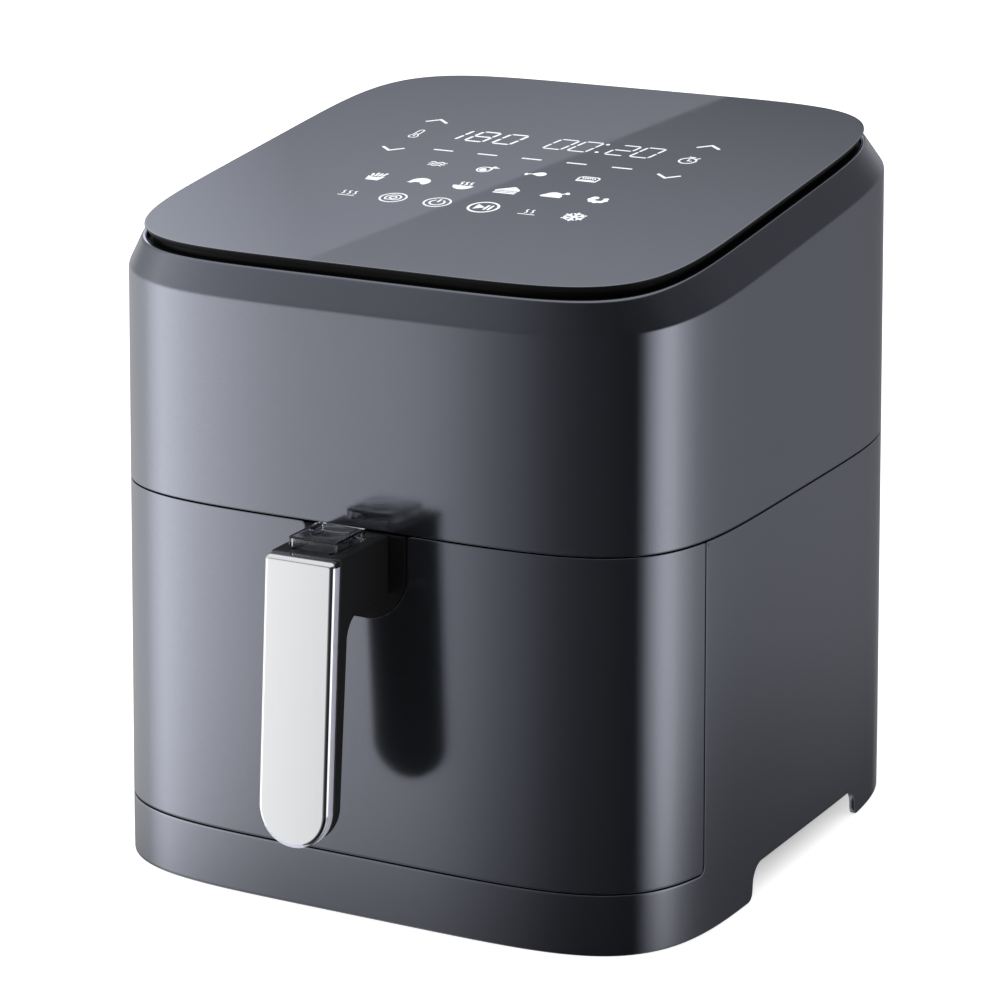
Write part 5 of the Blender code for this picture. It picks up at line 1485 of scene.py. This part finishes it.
def make_pan():
    """Closed tub with a rim that turns outwards."""
    reach = PAN_RIM_REACH
    low = Vector((PAN_LOW.x + reach, PAN_LOW.y + reach, PAN_LOW.z))
    high = Vector((PAN_HIGH.x - reach, PAN_HIGH.y - reach, PAN_HIGH.z))
    height = high.z - low.z
    outer, top, inner = tub_section(height - 0.0004, PAN_WALL)
    rim = [(0.0, height - 0.0026), (-reach, height - 0.0022), (-reach, height - 0.0010),
           (-reach + 0.0004, height - 0.0003), (-0.0004, height)]
    section = outer + rim + top[2:] + inner
    bm = bmesh.new()
    rows = [[(u, v, low.z + h) for u, v in tub_outline(low, high, inset, PAN_CORNER)] for inset, h in section]
    add_rows(bm, rows, caps=True)
    finish_piece("drip_pan", bm, "coating", "drawer", ["pan"], sharp_deg=50)


def make_basket():
    """Tub whose floor is a perforated plate."""
    low, high = BASKET_LOW, BASKET_HIGH
    outer, top, inner = tub_section(high.z - low.z, BASKET_WALL)
    outlines = [tub_outline(low, high, inset, BASKET_CORNER) for inset, h in outer + top + inner]
    heights = [low.z + h for inset, h in outer + top + inner]
    bm = bmesh.new()
    made = add_rows(bm, [[(u, v, z) for u, v in outline] for outline, z in zip(outlines, heights)])
    middle = (low + high) / 2
    holes = []
    for column in range(-6, 7):
        for row in range(-5, 6):
            shift = HOLE_PITCH / 2 if row % 2 else 0.0
            x, y = middle.x + column * HOLE_PITCH * HOLE_STRETCH + shift, middle.y + row * HOLE_PITCH
            if abs(x - middle.x) < HOLES_HALF_WIDTH and abs(y - middle.y) < HOLES_HALF_DEPTH:
                holes.append(circle((x, y), HOLE_RADIUS, 14))
    below = fill_perforated(bm, outlines[0], made[0], holes, low.z)
    above = fill_perforated(bm, outlines[-1], made[-1], holes, low.z + BASKET_WALL)
    for first, second in zip(below, above):
        bridge(bm, first, second)
    finish_piece("basket_tub", bm, "coating", "drawer", ["basket"], sharp_deg=40)


def fill_perforated(bm, edge, ring, holes, z):
    """Flat plate inside ring with round holes; returns the holes' rows of vertices."""
    places = [Vector(point) for point in edge]
    edges = [(i, (i + 1) % len(edge)) for i in range(len(edge))]
    spans = []
    for hole in holes:
        start = len(places)
        places += [Vector(point) for point in hole]
        edges += [(start + i, start + (i + 1) % len(hole)) for i in range(len(hole))]
        spans.append(range(start, start + len(hole)))
    points, faces, where = triangulate(places, edges, CDT_INSIDE_WITH_HOLES)
    verts = [None] * len(points)
    for i, vert in enumerate(ring):
        verts[where[i]] = vert
    for index, (u, v) in enumerate(points):
        if verts[index] is None:
            verts[index] = bm.verts.new((u, v, z))
    for face in faces:
        bm.faces.new([verts[i] for i in face])
    return [[verts[where[i]] for i in span] for span in spans]


# ---------------------------------------------------------------- looks of the CAD nodes that stay
def dress_nodes():
    for subpart in frame["record"]["subparts"]:
        obj = frame["nodes"][subpart["node"]]
        look = MATERIALS[SLOT_MATERIALS[subpart["material_slot"]]]
        obj.data.materials.clear()
        obj.data.materials.append(look)


# ---------------------------------------------------------------- studio
CAMERA_PLACE = (0.7190, -1.3543, 0.5947)
CAMERA_TARGET = (-0.0149, 0.0404, 0.1376)
CAMERA_LENS = 134.5
STAGE_RADIUS = 6.0


def make_camera():
    data = bpy.data.cameras.new("camera")
    data.sensor_width = 36.0
    data.lens = CAMERA_LENS
    camera = bpy.data.objects.new("camera", data)
    bpy.context.scene.collection.objects.link(camera)
    camera.location = CAMERA_PLACE
    aim = Vector(CAMERA_TARGET) - Vector(CAMERA_PLACE)
    camera.rotation_euler = aim.to_track_quat("-Z", "Y").to_euler()
    bpy.context.scene.camera = camera


def make_stage():
    """Pale floor and a pale sky behind it; the fryer's gloss mirrors the studio's lamps and not these.

    The floor glows a little, except under the fryer, where a soft square mask fades the glow out; that darker
    floor under the fryer is a painted shadow.
    """
    bm = bmesh.new()
    bmesh.ops.create_circle(bm, cap_ends=True, segments=96, radius=STAGE_RADIUS)
    floor = helper(bm, "floor")
    made, tree, shader = new_material("pale_floor", Roughness=0.9)
    where = object_place(tree)
    shade = colour_mix(tree, noise(tree, where, 3.0), (0.90, 0.90, 0.905), (0.92, 0.92, 0.925))
    tree.links.new(shade, shader.inputs["Base Color"])
    # the glow's mask: none under the fryer, full from its outline outwards, which paints a shadow beneath it
    parts = node(tree, "ShaderNodeSeparateXYZ", {0: where}).outputs
    beside = calc(tree, "DIVIDE", calc(tree, "ABSOLUTE", parts[0]), HALF_WIDTH)
    ahead = calc(tree, "ABSOLUTE", calc(tree, "SUBTRACT", parts[1], CENTRE_Y))
    before = calc(tree, "DIVIDE", ahead, HALF_DEPTH)
    power = 5.0
    square = calc(tree, "ADD", calc(tree, "POWER", beside, power), calc(tree, "POWER", before, power))
    glow_outside_painted_shadow = spread(tree, calc(tree, "POWER", square, 1 / power), 0.0, 1.0, 0.74, 1.0)
    glow = node(tree, "ShaderNodeVectorMath", {0: shade, "Scale": glow_outside_painted_shadow}, operation="SCALE").outputs[0]
    tree.links.new(glow, shader.inputs["Emission Color"])
    shader.inputs["Emission Strength"].default_value = 0.82
    floor.data.materials.append(made)
    floor.visible_glossy = False
    bm = bmesh.new()
    bmesh.ops.create_uvsphere(bm, u_segments=64, v_segments=32, radius=STAGE_RADIUS)
    sky = helper(bm, "sky")
    sky.data.shade_smooth()
    made, tree, shader = new_material("pale_sky", Roughness=1.0)
    shader.inputs["Base Color"].default_value = (0, 0, 0, 1)
    shader.inputs["Emission Color"].default_value = (1.0, 1.0, 1.0, 1.0)
    shader.inputs["Emission Strength"].default_value = 1.0
    sky.data.materials.append(made)
    for ray in ("visible_glossy", "visible_diffuse", "visible_shadow"):
        setattr(sky, ray, False)


# Brightness of the studio round the fryer, by degrees from straight ahead of its front towards +X.
# A large lamp stands to the left and a smaller one to the right.
AROUND = [(-180, 0.22), (-144, 0.36), (-110, 1.00), (-84, 1.45), (-72, 2.25), (-64, 2.65), (-56, 2.45),
          (-44, 1.95), (-38, 1.68), (-34.5, 1.50), (-32, 1.30), (-30, 1.05), (-28.3, 0.74), (-26.6, 0.53),
          (-22, 0.34), (-12, 0.175), (-4, 0.11), (10, 0.065), (40, 0.035), (54, 0.022), (61, 0.026),
          (68, 0.23), (76, 0.74), (90, 1.54), (97, 1.68), (104, 1.58), (112, 1.20), (127, 0.68),
          (140, 0.49), (152, 0.39), (168, 0.27), (180, 0.22)]
# The same a little above the horizon, over the lamps' upper edges.
ABOVE = [(-180, 0.5), (-146, 0.66), (-106, 0.56), (-84, 0.82), (-68, 1.10), (-56, 0.95), (-46, 0.78),
         (-37, 0.62), (-33, 0.55), (-30, 0.41), (-28, 0.32), (-22, 0.25), (-16, 0.18), (-5, 0.105),
         (15, 0.052), (43, 0.035), (78, 0.052), (108, 0.11), (127, 0.12), (148, 0.165), (160, 0.18),
         (180, 0.5)]
ABOVE_RANGE = (-8, 4)         # elevations over which the second table takes over from the first
OVERHEAD = 0.95
OVERHEAD_RANGE = (32, 50)
# Share of the light that is left below the horizon, by elevation; far below, the pale floor shows again.
BELOW = [(-90, 0.42), (-50, 0.42), (-30, 0.38), (-24, 0.27), (-22, 0.35), (-21, 0.52), (-20, 0.76),
         (-19, 0.93), (-17.5, 1.0)]
BRIGHTEST = 3.0               # the ramps hold shares of this brightness


def heading(azimuth_deg, elevation_deg):
    a, e = math.radians(azimuth_deg), math.radians(elevation_deg)
    return Vector((math.sin(a) * math.cos(e), -math.cos(a) * math.cos(e), math.sin(e)))


def colour_blend(tree, share, first, second):
    return node(tree, "ShaderNodeMix", {0: share, 6: first, 7: second}, data_type="RGBA").outputs[2]


def lamp_colour(value):
    """Share of the greatest brightness; the dim parts of the studio are a little bluer."""
    dim = max(0.0, 1.0 - value)
    return tuple(value / BRIGHTEST * tint for tint in (1.0 - 0.02 * dim, 1.0, 1.0 + 0.09 * dim))


def make_world():
    world = bpy.data.worlds.new("studio")
    bpy.context.scene.world = world
    world.use_nodes = True
    tree = world.node_tree
    direction = node(tree, "ShaderNodeTexCoord").outputs["Generated"]
    parts = node(tree, "ShaderNodeSeparateXYZ", {0: direction}).outputs
    ahead = calc(tree, "MULTIPLY", parts[1], -1.0)
    turn = calc(tree, "DEGREES", calc(tree, "ARCTAN2", parts[0], ahead))
    rise = calc(tree, "DEGREES", calc(tree, "ARCSINE", parts[2]))
    share = calc(tree, "MULTIPLY_ADD", turn, 1 / 360, 0.5)
    around, above = (ramp(tree, share, [((deg + 180) / 360, lamp_colour(value)) for deg, value in table])
                     for table in (AROUND, ABOVE))
    light = colour_blend(tree, spread(tree, rise, 0.0, 1.0, *ABOVE_RANGE), around, above)
    # the lamps' lower edges slant: they end 1.8 degrees higher on the far right, and 0.5 lower on the left
    lowered = calc(tree, "SUBTRACT", rise, spread(tree, turn, 0.0, 1.8, 95, 135))
    lowered = calc(tree, "ADD", lowered, spread(tree, turn, 0.5, 0.0, -60, -32))
    place = calc(tree, "MULTIPLY_ADD", lowered, 1 / 90, 1.0)
    dimmed = ramp(tree, place, [((deg + 90) / 90, value) for deg, value in BELOW])
    light = node(tree, "ShaderNodeVectorMath", {0: light, 1: dimmed}, operation="MULTIPLY").outputs[0]
    overhead = (OVERHEAD / BRIGHTEST,) * 3 + (1.0,)
    light = colour_blend(tree, spread(tree, rise, 0.0, 1.0, *OVERHEAD_RANGE), light, overhead)
    light = panel_lamp(tree, direction, turn, rise, light)
    background = tree.nodes["Background"]
    tree.links.new(light, background.inputs["Color"])
    background.inputs["Strength"].default_value = BRIGHTEST


def along(tree, direction, axis):
    """Cosine of the angle between a direction and a fixed axis."""
    inputs = {0: direction, 1: tuple(axis)}
    return node(tree, "ShaderNodeVectorMath", inputs, operation="DOT_PRODUCT").outputs["Value"]


PANEL_LAMP = (-150, 23.3)     # azimuth and elevation of the lamp that the glass mirrors
PANEL_EDGE = (heading(-146.7, 24.2), heading(-154.0, 22.5))     # two places on its straight edge
PANEL_FADE = (20, 9)          # it fades in between these angles from its middle


def panel_lamp(tree, direction, turn, rise, light):
    """Cool lamp behind the fryer, mirrored by its glass.

    It grows brighter upwards and to one side, and it is brighter by a step beyond its straight edge.
    """
    across = calc(tree, "SUBTRACT", turn, PANEL_LAMP[0])
    up = calc(tree, "SUBTRACT", rise, PANEL_LAMP[1])
    dim = calc(tree, "MULTIPLY_ADD", across, 0.031, calc(tree, "MULTIPLY_ADD", up, 0.176, 0.70))
    more = calc(tree, "MULTIPLY_ADD", across, -0.015, calc(tree, "MULTIPLY_ADD", up, 0.02, 0.25))
    edge = PANEL_EDGE[0].cross(PANEL_EDGE[1]).normalized()
    lit = spread(tree, along(tree, direction, edge), 0.0, 1.0, -0.0004, 0.0004)
    value = calc(tree, "MULTIPLY_ADD", lit, more, dim)
    far = calc(tree, "MAXIMUM", calc(tree, "SUBTRACT", across, 3.2), 0.0)
    value = calc(tree, "MULTIPLY_ADD", far, 0.19, value)
    value = calc(tree, "MAXIMUM", calc(tree, "MULTIPLY", value, 1 / BRIGHTEST), 0.02)
    tints = {0: calc(tree, "MULTIPLY", value, 0.95), 1: value, 2: calc(tree, "MULTIPLY", value, 1.17)}
    cool = node(tree, "ShaderNodeCombineXYZ", tints).outputs[0]
    fade = [math.cos(math.radians(angle)) for angle in PANEL_FADE]
    near = spread(tree, along(tree, direction, heading(*PANEL_LAMP)), 0.0, 1.0, *fade)
    return colour_blend(tree, near, light, cool)


# ---------------------------------------------------------------- assembly
make_camera()
dress_nodes()
make_upper_housing()
make_lower_housing()
make_drawer_front()
make_glass()
make_tray()
make_print()
make_handle_plate()
make_handle_grip()
make_boss()
make_guard()
make_button()
make_feet()
make_gland()
make_grille()
make_pan()
make_basket()
make_stage()
make_world()
bpy.context.scene.view_settings.view_transform = "Standard"
